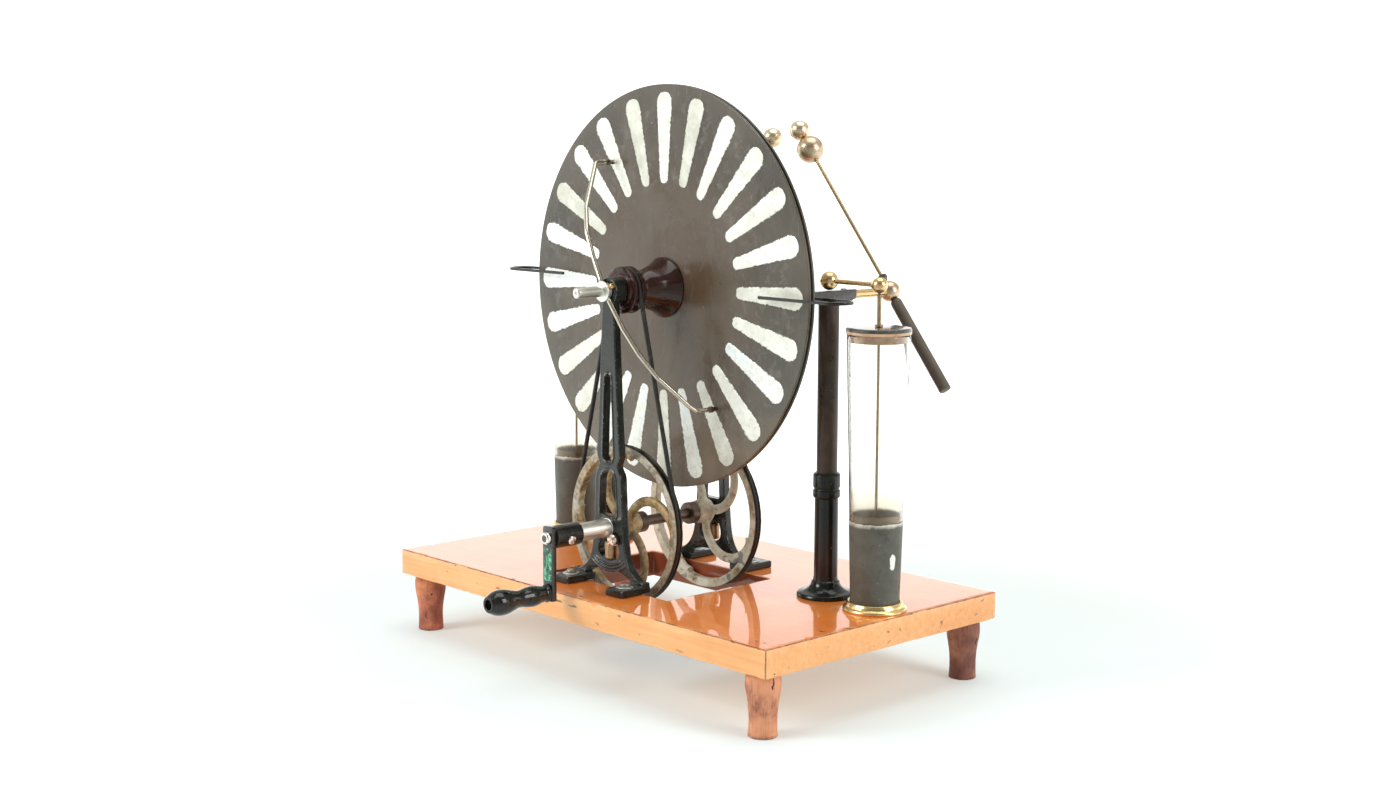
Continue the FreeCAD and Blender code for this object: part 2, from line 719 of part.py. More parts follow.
ch = turned("crank_handle", [
    (3.08, -202.2), (9.0, -202.2), (9.9, -203.4), (9.9, -206.0), (8.8, -208.0), (9.3, -212.0), (10.9, -219.0),
    (11.2, -225.0), (10.2, -232.5), (9.4, -238.5), (9.7, -244.5), (11.6, -251.0), (13.4, -258.0), (14.0, -264.5),
    (13.4, -270.5), (11.6, -276.0), (9.4, -280.2), (8.4, -handle_end), (5.5, -handle_end),
    (5.4, -(handle_end - 10.2)), (3.08, -(handle_end - 10.2))],
    0, yshift, zt + hz, ROT_Y)
keep(ch, "crank_handle")

# ===========================================================================
# Belts: round leather cord
# ===========================================================================
rw = wheel_groove + belt_rad + belt_gap
rp = pul_groove + belt_rad + belt_gap
centre = spin_ht - axle_ht


def circle_wire(at, normal, r):
    return Part.Wire([Part.makeCircle(r, at, normal)])


def open_belt():
    dist = centre.v
    a = math.asin((rw.v - rp.v) / dist)
    zl, zu = 0.0, dist
    ca, sa = math.cos(a), math.sin(a)
    y = 0.0

    def pl(sx):
        return V(sx * rw.v * ca, y, zl + rw.v * sa)

    def pu(sx):
        return V(sx * rp.v * ca, y, zu + rp.v * sa)

    edges = [Part.LineSegment(pl(1), pu(1)).toShape(),
             Part.Arc(pu(1), V(0, y, zu + rp.v), pu(-1)).toShape(),
             Part.LineSegment(pu(-1), pl(-1)).toShape(),
             Part.Arc(pl(-1), V(0, y, zl - rw.v), pl(1)).toShape()]
    wire = Part.Wire(edges)
    d = pu(1) - pl(1)
    d.normalize()
    prof = circle_wire(pl(1), d, belt_rad.v)
    return wire.makePipeShell([prof], True, False)


def crossed_belt():
    """The strands cross between pulley and wheel and pass one behind the
    other, each with a slight sideways set."""
    dist = centre.v
    a = math.acos((rw.v + rp.v) / dist)
    ca, sa = math.cos(a), math.sin(a)
    off = belt_rad.v + 0.35

    def low(sx):
        return V(sx * rw.v * sa, 0, rw.v * ca)

    def up(sx):
        return V(sx * rp.v * sa, 0, dist - rp.v * ca)

    cross_z = dist * rw.v / (rw.v + rp.v)
    m1, m2 = V(0, off, cross_z), V(0, -off, cross_z)
    edges = [Part.LineSegment(low(1), m1).toShape(),
             Part.LineSegment(m1, up(-1)).toShape(),
             Part.Arc(up(-1), V(0, 0, dist + rp.v), up(1)).toShape(),
             Part.LineSegment(up(1), m2).toShape(),
             Part.LineSegment(m2, low(-1)).toShape(),
             Part.Arc(low(-1), V(0, 0, -rw.v), low(1)).toShape()]
    d = m1 - low(1)
    d.normalize()
    return Part.Wire(edges).makePipeShell([circle_wire(low(1), d, belt_rad.v)], True, False)


def solid_of(shape):
    if shape.ShapeType != "Solid":
        sol = shape.Solids
        if len(sol) == 1:
            return sol[0]
        if len(sol) == 0:
            return Part.makeSolid(shape if shape.ShapeType == "Shell" else shape.Shells[0])
    return shape


fb = doc.addObject("Part::Feature", "front_belt_cord")
fb.Shape = solid_of(open_belt())
place(fb, 0, yshift - belt_front, zt + axle_ht)
keep(fb, "front_belt")
rb = doc.addObject("Part::Feature", "rear_belt_cord")
rb.Shape = solid_of(crossed_belt())
place(rb, 0, yshift + belt_back, zt + axle_ht)
keep(rb, "rear_belt")

# ===========================================================================
# Neutralizers: collar with a ring, two bent rods, tinsel brushes, screw
# ===========================================================================


def bent_rod(points, radius, bend):
    """Round rod along straight runs joined by arcs."""
    pts = [V(*p) for p in points]
    edges = []
    prev = pts[0]
    for i in range(1, len(pts) - 1):
        a, b, c = pts[i - 1], pts[i], pts[i + 1]
        u = (a - b)
        w = (c - b)
        lu, lw = u.Length, w.Length
        u.normalize()
        w.normalize()
        turn = math.pi - u.getAngle(w)
        r = min(bend, 0.45 * min(lu, lw) / math.tan(turn / 2)) if turn > 1e-4 else 0
        if r <= 0:
            continue
        t = r * math.tan(turn / 2)
        s, e = b + u * t, b + w * t
        half = u + w
        half.normalize()
        m = b + half * (r / math.cos(turn / 2) - r)
        if (s - prev).Length > 1e-6:
            edges.append(Part.LineSegment(prev, s).toShape())
        edges.append(Part.Arc(s, m, e).toShape())
        prev = e
    edges.append(Part.LineSegment(prev, pts[-1]).toShape())
    wire = Part.Wire(edges)
    d = pts[1] - pts[0]
    d.normalize()
    return wire.makePipeShell([circle_wire(pts[0], d, radius)], True, False)


def radial(s, y, deg):
    a = math.radians(deg)
    return (s * math.cos(a), y, s * math.sin(a))


mid_y = -disc_face.v + disc_thk.v + disc_gap.v / 2
up_path = [(9.45, -119.24), (46, -117.0), (73.5, -113.0), (103.5, -101.2), (127.5, -85.0), (153, -67.5), (161.2, -62.0), (161.6, -47.0)]
low_path = [(9.45, -119.24), (48, -117.2), (81.3, -110.6), (111.7, -98.6), (135.2, -82.0), (149.5, -72.5), (155.6, -66.0), (155.9, -47.0)]


def neutralizer(prefix, mirror):
    def my(y):
        return 2 * mid_y - y if mirror else y

    def mx(p):
        return (-p[0], p[1], p[2]) if mirror else p

    # collar with its thin ring, turned about the spindle
    rot = ROT_Y if mirror else ROT_NY
    base_y = yshift + (2 * mid_y if mirror else 0)
    c = turned(prefix + "_collar", [
        (spin_rad + run_fit, 116.1), (9.0, 116.1), (9.2, 116.4), (9.2, 121.9), (10.8, 122.0), (11.4, 122.6), (11.4, 123.9),
        (10.8, 124.5), (spin_rad + run_fit, 124.5)], 0, base_y, zt + spin_ht, rot)
    keep(c, prefix + "_collar")
    rods = doc.addObject("Part::Feature", prefix + "_rods_wire")
    shapes = []
    for path, deg in ((up_path, 121.0), (low_path, 305.0)):
        p3 = [mx(radial(s, my(y), deg)) for s, y in path]
        shapes.append(solid_of(bent_rod(p3, 2.6, 16.0)))
    rods.Shape = Part.Compound(shapes)
    place(rods, 0, yshift, zt + spin_ht)
    keep(rods, prefix + "_rods")
    tips = []
    for i, (path, deg) in enumerate(((up_path, 121.0), (low_path, 305.0))):
        s = path[-1][0]
        p = mx(radial(s, my(-46.88), deg))
        tips.append(turned(prefix + "_brush%d" % i, [
            (0, 0), (3.3, 0), (3.6, 1.0), (3.6, 4.0), (2.8, 5.5), (3.2, 9.5), (3.6, 13.0), (0, 13.0)],
            p[0], yshift + p[1], zt + spin_ht + p[2], ROT_NY if mirror else ROT_Y))
    group(prefix + "_brushes", tips)
    # thumb screw of the collar, yellow brass, radial
    a = math.radians(30.0)
    d = V((-1 if mirror else 1) * math.cos(a), 0, math.sin(a))
    t = turned(prefix + "_screw", [
        (0, 9.3), (1.6, 9.3), (1.6, 10.6), (2.9, 10.8), (3.1, 11.4), (3.1, 14.0), (2.6, 14.8), (0, 15.0)],
        0, yshift + my(-118.72), zt + spin_ht, towards(d))
    keep(t, prefix + "_screw")


neutralizer("front_neutralizer", False)
neutralizer("rear_neutralizer", True)

# ===========================================================================
# Columns, conductor bars, tubes and combs
# ===========================================================================
bases = []
for i, (cx, cy) in enumerate(((col_x, col_y), (-lcol_x, lcol_y))):
    bases.append(turned("column_base%d" % i, [
        (0, -18.0), (8.2, -18.0), (9.0, -17.2), (9.0, 0.0), (31.5, 0.0), (31.5, 3.2), (30.6, 4.6), (26.5, 5.4), (23.2, 6.6),
        (19.0, 9.4), (16.4, 13.0), (15.2, 15.2), (15.2, 17.2), (13.4, 18.4), (12.9, 24.0), (12.75, 108.5),
        (14.2, 109.6), (14.9, 111.2), (14.9, 117.0), (13.9, 118.4), (13.9, 119.6), (14.9, 121.0), (14.9, 134.4),
        (13.6, 136.0), (col_r + 0.05, 136.0), (col_r + 0.05, 90.0), (0, 90.0)],
        cx, yshift + cy, zt))
group("column_bases", bases)

for name, cx, cy, up in (("right_column_rod", col_x, col_y, dim(0)), ("left_column_rod", -lcol_x, lcol_y, lift)):
    keep(turned(name, [
        (0, 90.3), (col_r, 90.3), (col_r, col_top + up), (0, col_top + up)],
        cx, yshift + cy, zt), name)

# black bars on the column heads, running fore and aft
bars = []
tubes = []
for i, (cx, up) in enumerate(((col_x, dim(0)), (-lcol_x, lift))):
    b = body("conductor_bar%d" % i)
    # side view: y to the right, rounded lower rear end
    sk = new_sketch(b, "bar_side%d" % i, "YZ_Plane")
    loop(sk, [(-10.45, 0.1), (60.5, 0.1, 8.0, -1), (66.0, 6.5), (66.0, bar_ht), (-10.45, bar_ht)])
    pad = b.newObject("PartDesign::Pad", "bar_pad%d" % i)
    pad.Profile = sk
    pad.Length = 13
    pad.SideType = "Symmetric"
    place(b, cx, yshift, zt + col_top + up)
    tool = cyl("bar_bore%d" % i, tube_r + 0.05, 12, cx, yshift + 58.0, zt + piv_z + up, ROT_Y)
    bars.append(cut("bar%d_bored" % i, b, tool))
    tubes.append(turned("conductor_tube%d" % i, [
        (0, 58.3), (tube_r, 58.3), (tube_r, piv_y - 11.2), (3.0, piv_y - 11.2), (3.0, piv_y + 6.0), (0, piv_y + 6.0)],
        cx, yshift, zt + piv_z + up, ROT_Y))
group("conductor_bars", bars)
group("conductor_tubes", tubes)


def comb(name, side, z0):
    """Flat strip bent like a hairpin round the edges of the discs, with
    collecting points on its inner edges.  Plan view, x outwards."""
    yf, yb2 = -45.3, -11.7            # centre lines of the two arms
    ycen = (yf + yb2) / 2
    h = 1.25
    ro, ri = (yb2 - yf) / 2 + h, (yb2 - yf) / 2 - h
    xe = 258.8                        # where the bend starts
    xt = 163.0                        # tips
    outer = [(xt, yf - h), (xe, yf - h)]
    pts = []
    pts.append((xt, yf - h))
    pts.append((xe, yf - h, ro, -1))
    pts.append((xe + ro, ycen, ro, -1))
    pts.append((xe, yb2 + h))
    pts.append((xt, yb2 + h))
    pts.append((xt, yb2 - h))
    x = xt + 6.0
    while x < 214.0:
        pts += [(x, yb2 - h), (x + 0.9, yb2 - h - 4.2), (x + 1.8, yb2 - h)]
        x += 7.5
    pts.append((xe, yb2 - h, ri, 1))
    pts.append((xe + ri, ycen, ri, 1))
    pts.append((xe, yf + h))
    x = 214.0
    while x > xt + 6.0:
        pts += [(x, yf + h), (x - 0.9, yf + h + 4.2), (x - 1.8, yf + h)]
        x -= 7.5
    pts.append((xt, yf + h))
    if side < 0:
        flipped = []
        n = len(pts)
        # mirrored in x: walk the outline backwards so that the arcs keep
        # their bulge
        for i in range(n):
            p = pts[(n - i) % n]
            q = pts[(n - i - 1) % n]
            if len(q) > 2:
                flipped.append((-p[0], p[1], q[2], q[3]))
            else:
                flipped.append((-p[0], p[1]))
        pts = flipped
    b = body(name)
    add_pad(b, name + "_strip", "XY_Plane", [pts], 3.4)
    place(b, 0, yshift, zt + z0)
    return keep(b, name)


comb("right_comb", 1, piv_z - 1.2)
comb("left_comb", -1, piv_z - 1.2 + lift)

# ===========================================================================
# Dischargers
# ===========================================================================


def discharger(prefix, cx, up, deg, reach, hdeg=None):
    """deg: direction of the rod, from +X towards +Z; reach: distance from the
    pivot to the outer small ball's centre."""
    a = math.radians(deg)
    d = V(math.cos(a), 0, math.sin(a))
    cz = zt + piv_z + up
    cyy = yshift + piv_y
    reach = dim(reach)
    big_at = reach - big_r - small_r - 0.4
    rot = towards(d)
    rod = turned(prefix + "_rod", [
        (0, -8.0), (rod_r, -8.0), (rod_r, reach - small_r + 4.0), (0, reach - small_r + 4.0)], cx, cyy, cz, rot)
    # the rod clears the tube's spigot inside the ball: it starts beyond it
    rod2 = cut(prefix + "_rod_cut", rod, cyl(prefix + "_rod_bore", 3.6, 40, cx, cyy - 20, cz, ROT_Y))
    keep(rod2, prefix + "_rod")

    def at(t):
        t = dim(t)
        return cx + t * d.x, cyy, cz + t * d.z

    # poles on the rod's axis, so that the bores take them away cleanly
    big = ball(prefix + "_big", big_r, *at(big_at), rot=rot)
    small = ball(prefix + "_small", small_r, *at(reach + 0.02), rot=rot)
    piv = ball(prefix + "_pivot", piv_r, cx, cyy, cz, rot=rot)
    rodhole = cyl(prefix + "_hole", rod_r + 0.03, 60, *at(big_at - 30.0), rot=rot)
    spig = cyl(prefix + "_spigot_hole", 3.0 + run_fit, 20, cx, cyy - 12.0, cz, ROT_Y)
    bigc = cut(prefix + "_big_cut", big, rodhole)
    hole2 = cyl(prefix + "_hole2", rod_r + 0.03, 5, *at(reach - small_r - 0.6), rot=rot)
    smallc = cut(prefix + "_small_cut", small, hole2)
    hole3 = cyl(prefix + "_hole3", rod_r + 0.03, 60, *at(-30.0), rot=rot)
    pivc = cut(prefix + "_pivot_cut", cut(prefix + "_pivot_bore", piv, spig), hole3)
    group(prefix + "_balls", [pivc, bigc, smallc])
    nut = turned(prefix + "_nut", [
        (rod_r + 0.03, 11.9), (3.0, 11.9), (3.6, 13.2), (5.2, 16.6), (5.7, 17.4), (5.7, 19.8), (5.2, 20.4),
        (rod_r + 0.03, 20.4)], cx, cyy, cz, rot)
    keep(nut, prefix + "_nut")
    hd = V(-d.x, 0, -d.z)
    handle = turned(prefix + "_handle", [
        (0, 11.55), (3.4, 11.55), (5.0, 12.3), (6.3, 14.0), (6.6, 20.0), (6.8, 129.0), (6.2, 131.0), (0, 131.0)],
        cx, cyy, cz, towards(hd))
    keep(handle, prefix + "_handle")


discharger("right_discharger", col_x, dim(0), 128.7, 225.0)
discharger("left_discharger", -lcol_x, lift, 38.0, 258.5)

# ===========================================================================
# Leyden jars
# ===========================================================================
rings = []
for i, (cx, cy) in enumerate(((jar_x, jar_y), (-ljar_x, ljar_y))):
    rings.append(turned("jar_ring%d" % i, [
        (26.7, 0.0), (ring_r, 0.0), (ring_r, 2.6), (32.6, 4.4), (31.0, 5.2), (30.2, 7.0), (28.8, 9.4), (27.4, 10.0), (26.7, 9.4)],
        cx, yshift + cy, zt))
group("jar_rings", rings)


def jar(prefix, cx, cy, up):
    k = (jar_rt - jar_rb) / (jar_ht - 0.4)       # taper of the wall

    def ro(z):
        return jar_rb + k * z

    x, y = cx, yshift + cy
    g = turned(prefix + "_glass", [
        (0, 0.4), (jar_rb - 1.2, 0.4), (ro(1.4), 1.6), (ro(jar_ht - 1.0), jar_ht - 0.8), (jar_rt - 1.0, jar_ht),
        (jar_rt - jar_wall, jar_ht - 0.6), (jar_rb - jar_wall, 5.2), (jar_rb - jar_wall - 2.0, 3.4), (0, 3.4)], x, y, zt)
    keep(g, prefix + "_glass")
    of = turned(prefix + "_outer_foil", [
        (ro(1.6) + 0.05, 1.8), (ro(foil_ht) + 0.05, foil_ht + 0.4), (ro(foil_ht) + 0.45, foil_ht + 0.4), (ro(1.6) + 0.45, 1.8)],
        x, y, zt)
    ki = (jar_rt - jar_rb) / (jar_ht - 5.8)      # taper of the inside

    def ri(z):
        return jar_rb - jar_wall + ki * (z - 5.2)

    inf = turned(prefix + "_inner_foil", [
        (ri(5.6) - 0.06, 5.6), (ri(104.0) - 0.06, 104.0), (ri(104.0) - 0.46, 104.0),
        (ri(5.6) - 0.46, 5.6)], x, y, zt)
    group(prefix + "_foils", [of, inf])
    lid = turned(prefix + "_lid", [
        (1.55, 284.6), (jar_rt - jar_wall - 0.8, 284.6), (jar_rt - jar_wall - 0.5, 293.02), (jar_rt + 0.4, 293.02), (jar_rt + 0.8, 293.8),
        (jar_rt + 0.8, 298.4), (jar_rt - 0.2, 299.8), (6.0, 300.2), (1.55, 300.2)], x, y, zt)
    keep(lid, prefix + "_lid")
    top = link_z + up
    rod = turned(prefix + "_rod", [
        (0, 4.4), (7.0, 4.4), (7.0, 5.8), (1.5, 6.4), (1.5, 300.4), (2.3, 300.4), (2.3, top - 9.4), (1.5, top - 8.9),
        (1.5, top + 5.0), (0, top + 5.0)], x, y, zt)
    keep(rod, prefix + "_rod")
    return x, y, top


rx, ry, rtop = jar("right_jar", jar_x, jar_y, dim(0))
lx, ly, ltop = jar("left_jar", -ljar_x, ljar_y, lift)


def link(name, jx, jy, top, cx, cy):
    """Brass arm that bridges the jar's rod and the head of the column."""
    dx, dy = cx.v - jx.v, (yshift + cy).v - jy.v
    length = math.hypot(dx, dy)
    d = V(dx / length, dy / length, 0)
    b1 = ball(name + "_head", 10.0, cx, yshift + cy, zt + top)
    b2 = ball(name + "_jar_ball", 8.5, jx, jy, zt + top)
    bore = cyl(name + "_bore", 1.5 + run_fit, 30, jx, jy, zt + top - 24.5)
    b2c = cut(name + "_jar_ball_cut", b2, bore)
    rod = cyl(name + "_arm", 2.5, length - 10.0 - 8.5 + 3.0, jx + d.x * 7.0, jy + d.y * 7.0, zt + top, towards(d))
    h1 = cyl(name + "_socket1", 2.53, length, jx + d.x * 6.8, jy + d.y * 6.8, zt + top, towards(d))
    b2d = cut(name + "_jar_ball_cut2", b2c, h1)
    h2 = cyl(name + "_socket2", 2.53, length - 6.0 - 8.5 + 6.2, jx, jy, zt + top, towards(d))
    b1c = cut(name + "_head_cut", b1, h2)
    group(name, [b1c, rod, b2d])


link("right_link_arm", rx, ry, rtop, col_x, col_y)
link("left_link_arm", lx, ly, ltop, -lcol_x, lcol_y)

# ===========================================================================
# Checks and export
# ===========================================================================
doc.recompute()
for o in doc.Objects:
    st = [str(s) for s in o.State]
    if "Invalid" in st or "Error" in st:
        problems.append("state of %s: %s" % (o.Name, st))
for name, obj in nodes:
    sh = obj.Shape
    if sh.isNull() or not sh.isValid():
        problems.append("shape of %s is null or invalid" % name)
    elif len(sh.Solids) == 0 or sh.Volume <= 0:
        problems.append("shape of %s has no solid" % name)
if len(nodes) > 60 or len(set(n for n, o in nodes)) != len(nodes):
    problems.append("node names or count wrong: %d" % len(nodes))
if problems:
    raise RuntimeError("; ".join(problems))

os.makedirs("parts", exist_ok=True)
for name, obj in nodes:
    obj.Shape.exportStep("parts/" + name + ".step")
total = FreeCAD.BoundBox()
for name, obj in nodes:
    total.add(obj.Shape.BoundBox)
    print("%-28s solids %2d  volume %10.1f" % (name, len(obj.Shape.Solids), obj.Shape.Volume))
print("nodes", len(nodes), "box", total)
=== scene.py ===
import math
import random

import bmesh
import bpy
import numpy as np
from mathutils import Matrix, Quaternion, Vector, noise


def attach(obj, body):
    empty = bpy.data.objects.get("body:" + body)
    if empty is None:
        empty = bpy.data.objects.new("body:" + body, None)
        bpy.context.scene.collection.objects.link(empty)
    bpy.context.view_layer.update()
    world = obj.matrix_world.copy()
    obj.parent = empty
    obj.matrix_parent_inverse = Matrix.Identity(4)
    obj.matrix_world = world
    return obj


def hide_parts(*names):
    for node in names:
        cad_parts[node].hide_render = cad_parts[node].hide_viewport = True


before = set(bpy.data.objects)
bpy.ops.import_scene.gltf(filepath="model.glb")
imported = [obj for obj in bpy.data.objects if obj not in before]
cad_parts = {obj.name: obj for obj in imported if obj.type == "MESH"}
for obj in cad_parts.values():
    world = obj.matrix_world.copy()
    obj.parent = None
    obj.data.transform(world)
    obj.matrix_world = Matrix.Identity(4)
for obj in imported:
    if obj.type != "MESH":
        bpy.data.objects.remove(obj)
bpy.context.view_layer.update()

# ---------------------------------------------------------------------------
# Looks of a hand-cranked influence machine.  Lengths below are millimetres
# from the board's centre line (x, y) and the board's top face (z); P() turns
# them into metres in the row frame.
# ---------------------------------------------------------------------------
YC, ZT = 51.5, 97.0


def P(x, y, z):
    return Vector((x / 1000.0, (y + YC) / 1000.0, (z + ZT) / 1000.0))


scene = bpy.context.scene
coll = scene.collection

# ===========================================================================
# Camera
# ===========================================================================
cam_data = bpy.data.cameras.new("camera")
cam = bpy.data.objects.new("camera", cam_data)
coll.objects.link(cam)
cam_data.sensor_width = 36.0
cam_data.lens = 49.007
cam_data.clip_start, cam_data.clip_end = 0.05, 60
rot = Matrix(((0.6826577, -0.1001695, 0.7238402),
              (0.7307304, 0.0889626, -0.6768447),
              (0.0034045, 0.9909852, 0.1339279)))
cam.matrix_world = Matrix.Translation(P(1584.944, -1458.955, 495.571)) @ rot.to_4x4()
scene.camera = cam

# ===========================================================================
# Mesh helpers
# ===========================================================================


def new_object(name, verts, faces, mat=None):
    me = bpy.data.meshes.new(name)
    me.from_pydata([tuple(v) for v in verts], [], faces)
    me.update()
    ob = bpy.data.objects.new(name, me)
    coll.objects.link(ob)
    if mat is not None:
        me.materials.append(mat)
    return ob


def tidy(ob, angle=38.0, recalc=True):
    """Outward normals, smooth faces, sharp edges where the surface turns."""
    bm = bmesh.new()
    bm.from_mesh(ob.data)
    bmesh.ops.remove_doubles(bm, verts=bm.verts, dist=1e-6)
    if recalc:
        bmesh.ops.recalc_face_normals(bm, faces=bm.faces)
    lim = math.radians(angle)
    for f in bm.faces:
        f.smooth = True
    for e in bm.edges:
        e.smooth = not (len(e.link_faces) == 2 and e.calc_face_angle(0.0) > lim)
    bm.to_mesh(ob.data)
    bm.free()
    ob.data.update()
    return ob


def rounded(pts, rr, n=4):
    """Open profile with its corners rounded.  Each point is (r, h) or
    (r, h, own_radius)."""
    out = [tuple(pts[0][:2])]
    for i in range(1, len(pts) - 1):
        a, b, c = Vector(pts[i - 1][:2]), Vector(pts[i][:2]), Vector(pts[i + 1][:2])
        r = pts[i][2] if len(pts[i]) > 2 else rr
        u, w = a - b, c - b
        lu, lw = u.length, w.length
        if r <= 0 or lu < 1e-9 or lw < 1e-9:
            out.append(tuple(b))
            continue
        u.normalize(); w.normalize()
        cosang = max(-1.0, min(1.0, u.dot(w)))
        turn = math.pi - math.acos(cosang)
        if turn < 0.12:
            out.append(tuple(b))
            continue
        t = min(r * math.tan(turn / 2), 0.46 * lu, 0.46 * lw)
        s, e = b + u * t, b + w * t
        for k in range(n + 1):
            q = k / n
            out.append(tuple((1 - q) ** 2 * s + 2 * q * (1 - q) * b + q * q * e))
    out.append(tuple(pts[-1][:2]))
    return out


def flow(pts, n=6):
    """Catmull-Rom curve through the points."""
    p = [Vector(q) for q in pts]
    p = [2 * p[0] - p[1]] + p + [2 * p[-1] - p[-2]]
    out = []
    for i in range(1, len(p) - 2):
        for k in range(n):
            t = k / n
            out.append(tuple(0.5 * ((2 * p[i]) + (p[i + 1] - p[i - 1]) * t
                                    + (2 * p[i - 1] - 5 * p[i] + 4 * p[i + 1] - p[i + 2]) * t * t
                                    + (3 * p[i] - p[i - 1] - 3 * p[i + 1] + p[i + 2]) * t ** 3)))
    out.append(tuple(pts[-1]))
    return out


def lathe(name, prof, at, direction, mat, segs=96, loop=False, angle=38.0, wob=0.0, seed=0):
    """Surface of revolution.  prof: (radius, height) in mm; at: a board
    position in mm; direction: where height grows."""
    d = Vector(direction).normalized()
    q = Vector((0, 0, 1)).rotation_difference(d)
    o = P(*at)
    verts, rows = [], []
    for r, h in prof:
        if r < 1e-6:
            rows.append([len(verts)])
            verts.append(o + q @ Vector((0, 0, h / 1000)))
        else:
            ids = []
            for k in range(segs):
                a = 2 * math.pi * k / segs
                rr = r
                if wob:
                    rr += wob * noise.noise(Vector((math.cos(a) * 1.3, math.sin(a) * 1.3, h * 0.05 + seed)))
                ids.append(len(verts))
                verts.append(o + q @ Vector((rr * math.cos(a) / 1000, rr * math.sin(a) / 1000, h / 1000)))
            rows.append(ids)
    faces = []
    pairs = list(zip(rows[:-1], rows[1:]))
    if loop:
        pairs.append((rows[-1], rows[0]))
    for a, b in pairs:
        if len(a) == 1 and len(b) == 1:
            continue
        for k in range(segs):
            k2 = (k + 1) % segs
            if len(a) == 1:
                faces.append((a[0], b[k2], b[k]))
            elif len(b) == 1:
                faces.append((a[k], a[k2], b[0]))
            else:
                faces.append((a[k], a[k2], b[k2], b[k]))
    return tidy(new_object(name, verts, faces, mat), angle)


def frames_along(pts, closed=False):
    """Tangents and parallel-transported normals of a polyline."""
    n = len(pts)
    tans = []
    for i in range(n):
        a = pts[(i - 1) % n] if (closed or i > 0) else pts[0]
        b = pts[(i + 1) % n] if (closed or i < n - 1) else pts[-1]
        tans.append((b - a).normalized())
    ref = Vector((0, 0, 1)) if abs(tans[0].z) < 0.9 else Vector((1, 0, 0))
    nrm = (ref - tans[0] * ref.dot(tans[0])).normalized()
    norms = [nrm]
    for i in range(1, n):
        q = tans[i - 1].rotation_difference(tans[i])
        nrm = (q @ norms[-1])
        nrm = (nrm - tans[i] * nrm.dot(tans[i])).normalized()
        norms.append(nrm)
    if closed:                      # spread the leftover twist
        q = tans[-1].rotation_difference(tans[0])
        back = q @ norms[-1]
        ang = math.atan2(back.cross(norms[0]).dot(tans[0]), back.dot(norms[0]))
        norms = [Quaternion(tans[i], ang * i / n) @ norms[i] for i in range(n)]
    return tans, norms


def tube(name, pts, radius, mat, segs=20, closed=False, dome=True, angle=38.0, squash=1.0):
    """Round bar along points (board mm).  radius: number or list."""
    p = [P(*q) for q in pts]
    n = len(p)
    rad = [radius] * n if not hasattr(radius, "__len__") else list(radius)
    tans, norms = frames_along(p, closed)
    verts, rings = [], []

    def add(c, t, m, r):
        b = t.cross(m)
        ids = []
        for k in range(segs):
            a = 2 * math.pi * k / segs
            ids.append(len(verts))
            verts.append(c + (m * math.cos(a) + b * math.sin(a) * squash) * r / 1000)
        rings.append(ids)

    if dome and not closed:
        for f, g in ((0.25, 0.25), (0.62, 0.62), (0.9, 0.9)):
            add(p[0] - tans[0] * rad[0] / 1000 * math.sqrt(1 - f * f) * 0.55, tans[0], norms[0], rad[0] * g)
    for i in range(n):
        add(p[i], tans[i], norms[i], rad[i])
    if dome and not closed:
        for f, g in ((0.9, 0.9), (0.62, 0.62), (0.25, 0.25)):
            add(p[-1] + tans[-1] * rad[-1] / 1000 * math.sqrt(1 - f * f) * 0.55, tans[-1], norms[-1], rad[-1] * g)
    faces = []
    m = len(rings)
    for i in range(m if closed else m - 1):
        a, b = rings[i], rings[(i + 1) % m]
        for k in range(segs):
            k2 = (k + 1) % segs
            faces.append((a[k], a[k2], b[k2], b[k]))
    if not closed:
        faces.append(tuple(reversed(rings[0])))
        faces.append(tuple(rings[-1]))
    return tidy(new_object(name, verts, faces, mat), angle)


def filleted(points, bend, n=10, step=4.0):
    """Points along straight runs joined by arcs, sampled evenly enough for
    a rigid bent rod."""
    pts = [Vector(q) for q in points]
    out = [pts[0]]

    def line_to(e):
        s = out[-1]
        k = max(1, int((e - s).length / step))
        for i in range(1, k + 1):
            out.append(s.lerp(e, i / k))
    for i in range(1, len(pts) - 1):
        a, b, c = pts[i - 1], pts[i], pts[i + 1]
        u, w = a - b, c - b
        lu, lw = u.length, w.length
        u.normalize(); w.normalize()
        turn = math.pi - u.angle(w)
        if turn < 1e-3:
            line_to(b)
            continue
        r = min(bend, 0.45 * min(lu, lw) / math.tan(turn / 2))
        t = r * math.tan(turn / 2)
        half = (u + w).normalized()
        ctr = b + half * (r / math.cos(turn / 2))
        s, e = b + u * t, b + w * t
        line_to(s)
        vs, ve = s - ctr, e - ctr
        ang = vs.angle(ve)
        for k in range(1, n + 1):
            f = k / n
            out.append(ctr + (vs * math.sin((1 - f) * ang) + ve * math.sin(f * ang)) / math.sin(ang))
    line_to(pts[-1])
    return [tuple(v) for v in out]


def join(name, obs, mat=None):
    """One object from several; their materials stay per face."""
    bm = bmesh.new()
    mats = []
    for ob in obs:
        off = {}
        for i, m in enumerate(ob.data.materials):
            if m not in mats:
                mats.append(m)
            off[i] = mats.index(m)
        start = len(bm.faces)
        bm.from_mesh(ob.data)
        bm.faces.ensure_lookup_table()
        for f in bm.faces[start:]:
            f.material_index = off.get(f.material_index, 0)
    me = bpy.data.meshes.new(name)
    bm.to_mesh(me)
    bm.free()
    for m in mats:
        me.materials.append(m)
    out = bpy.data.objects.new(name, me)
    coll.objects.link(out)
    for ob in obs:
        old = ob.data
        bpy.data.objects.remove(ob)
        bpy.data.meshes.remove(old)
    if mat is not None:
        me.materials.clear()
        me.materials.append(mat)
    return out


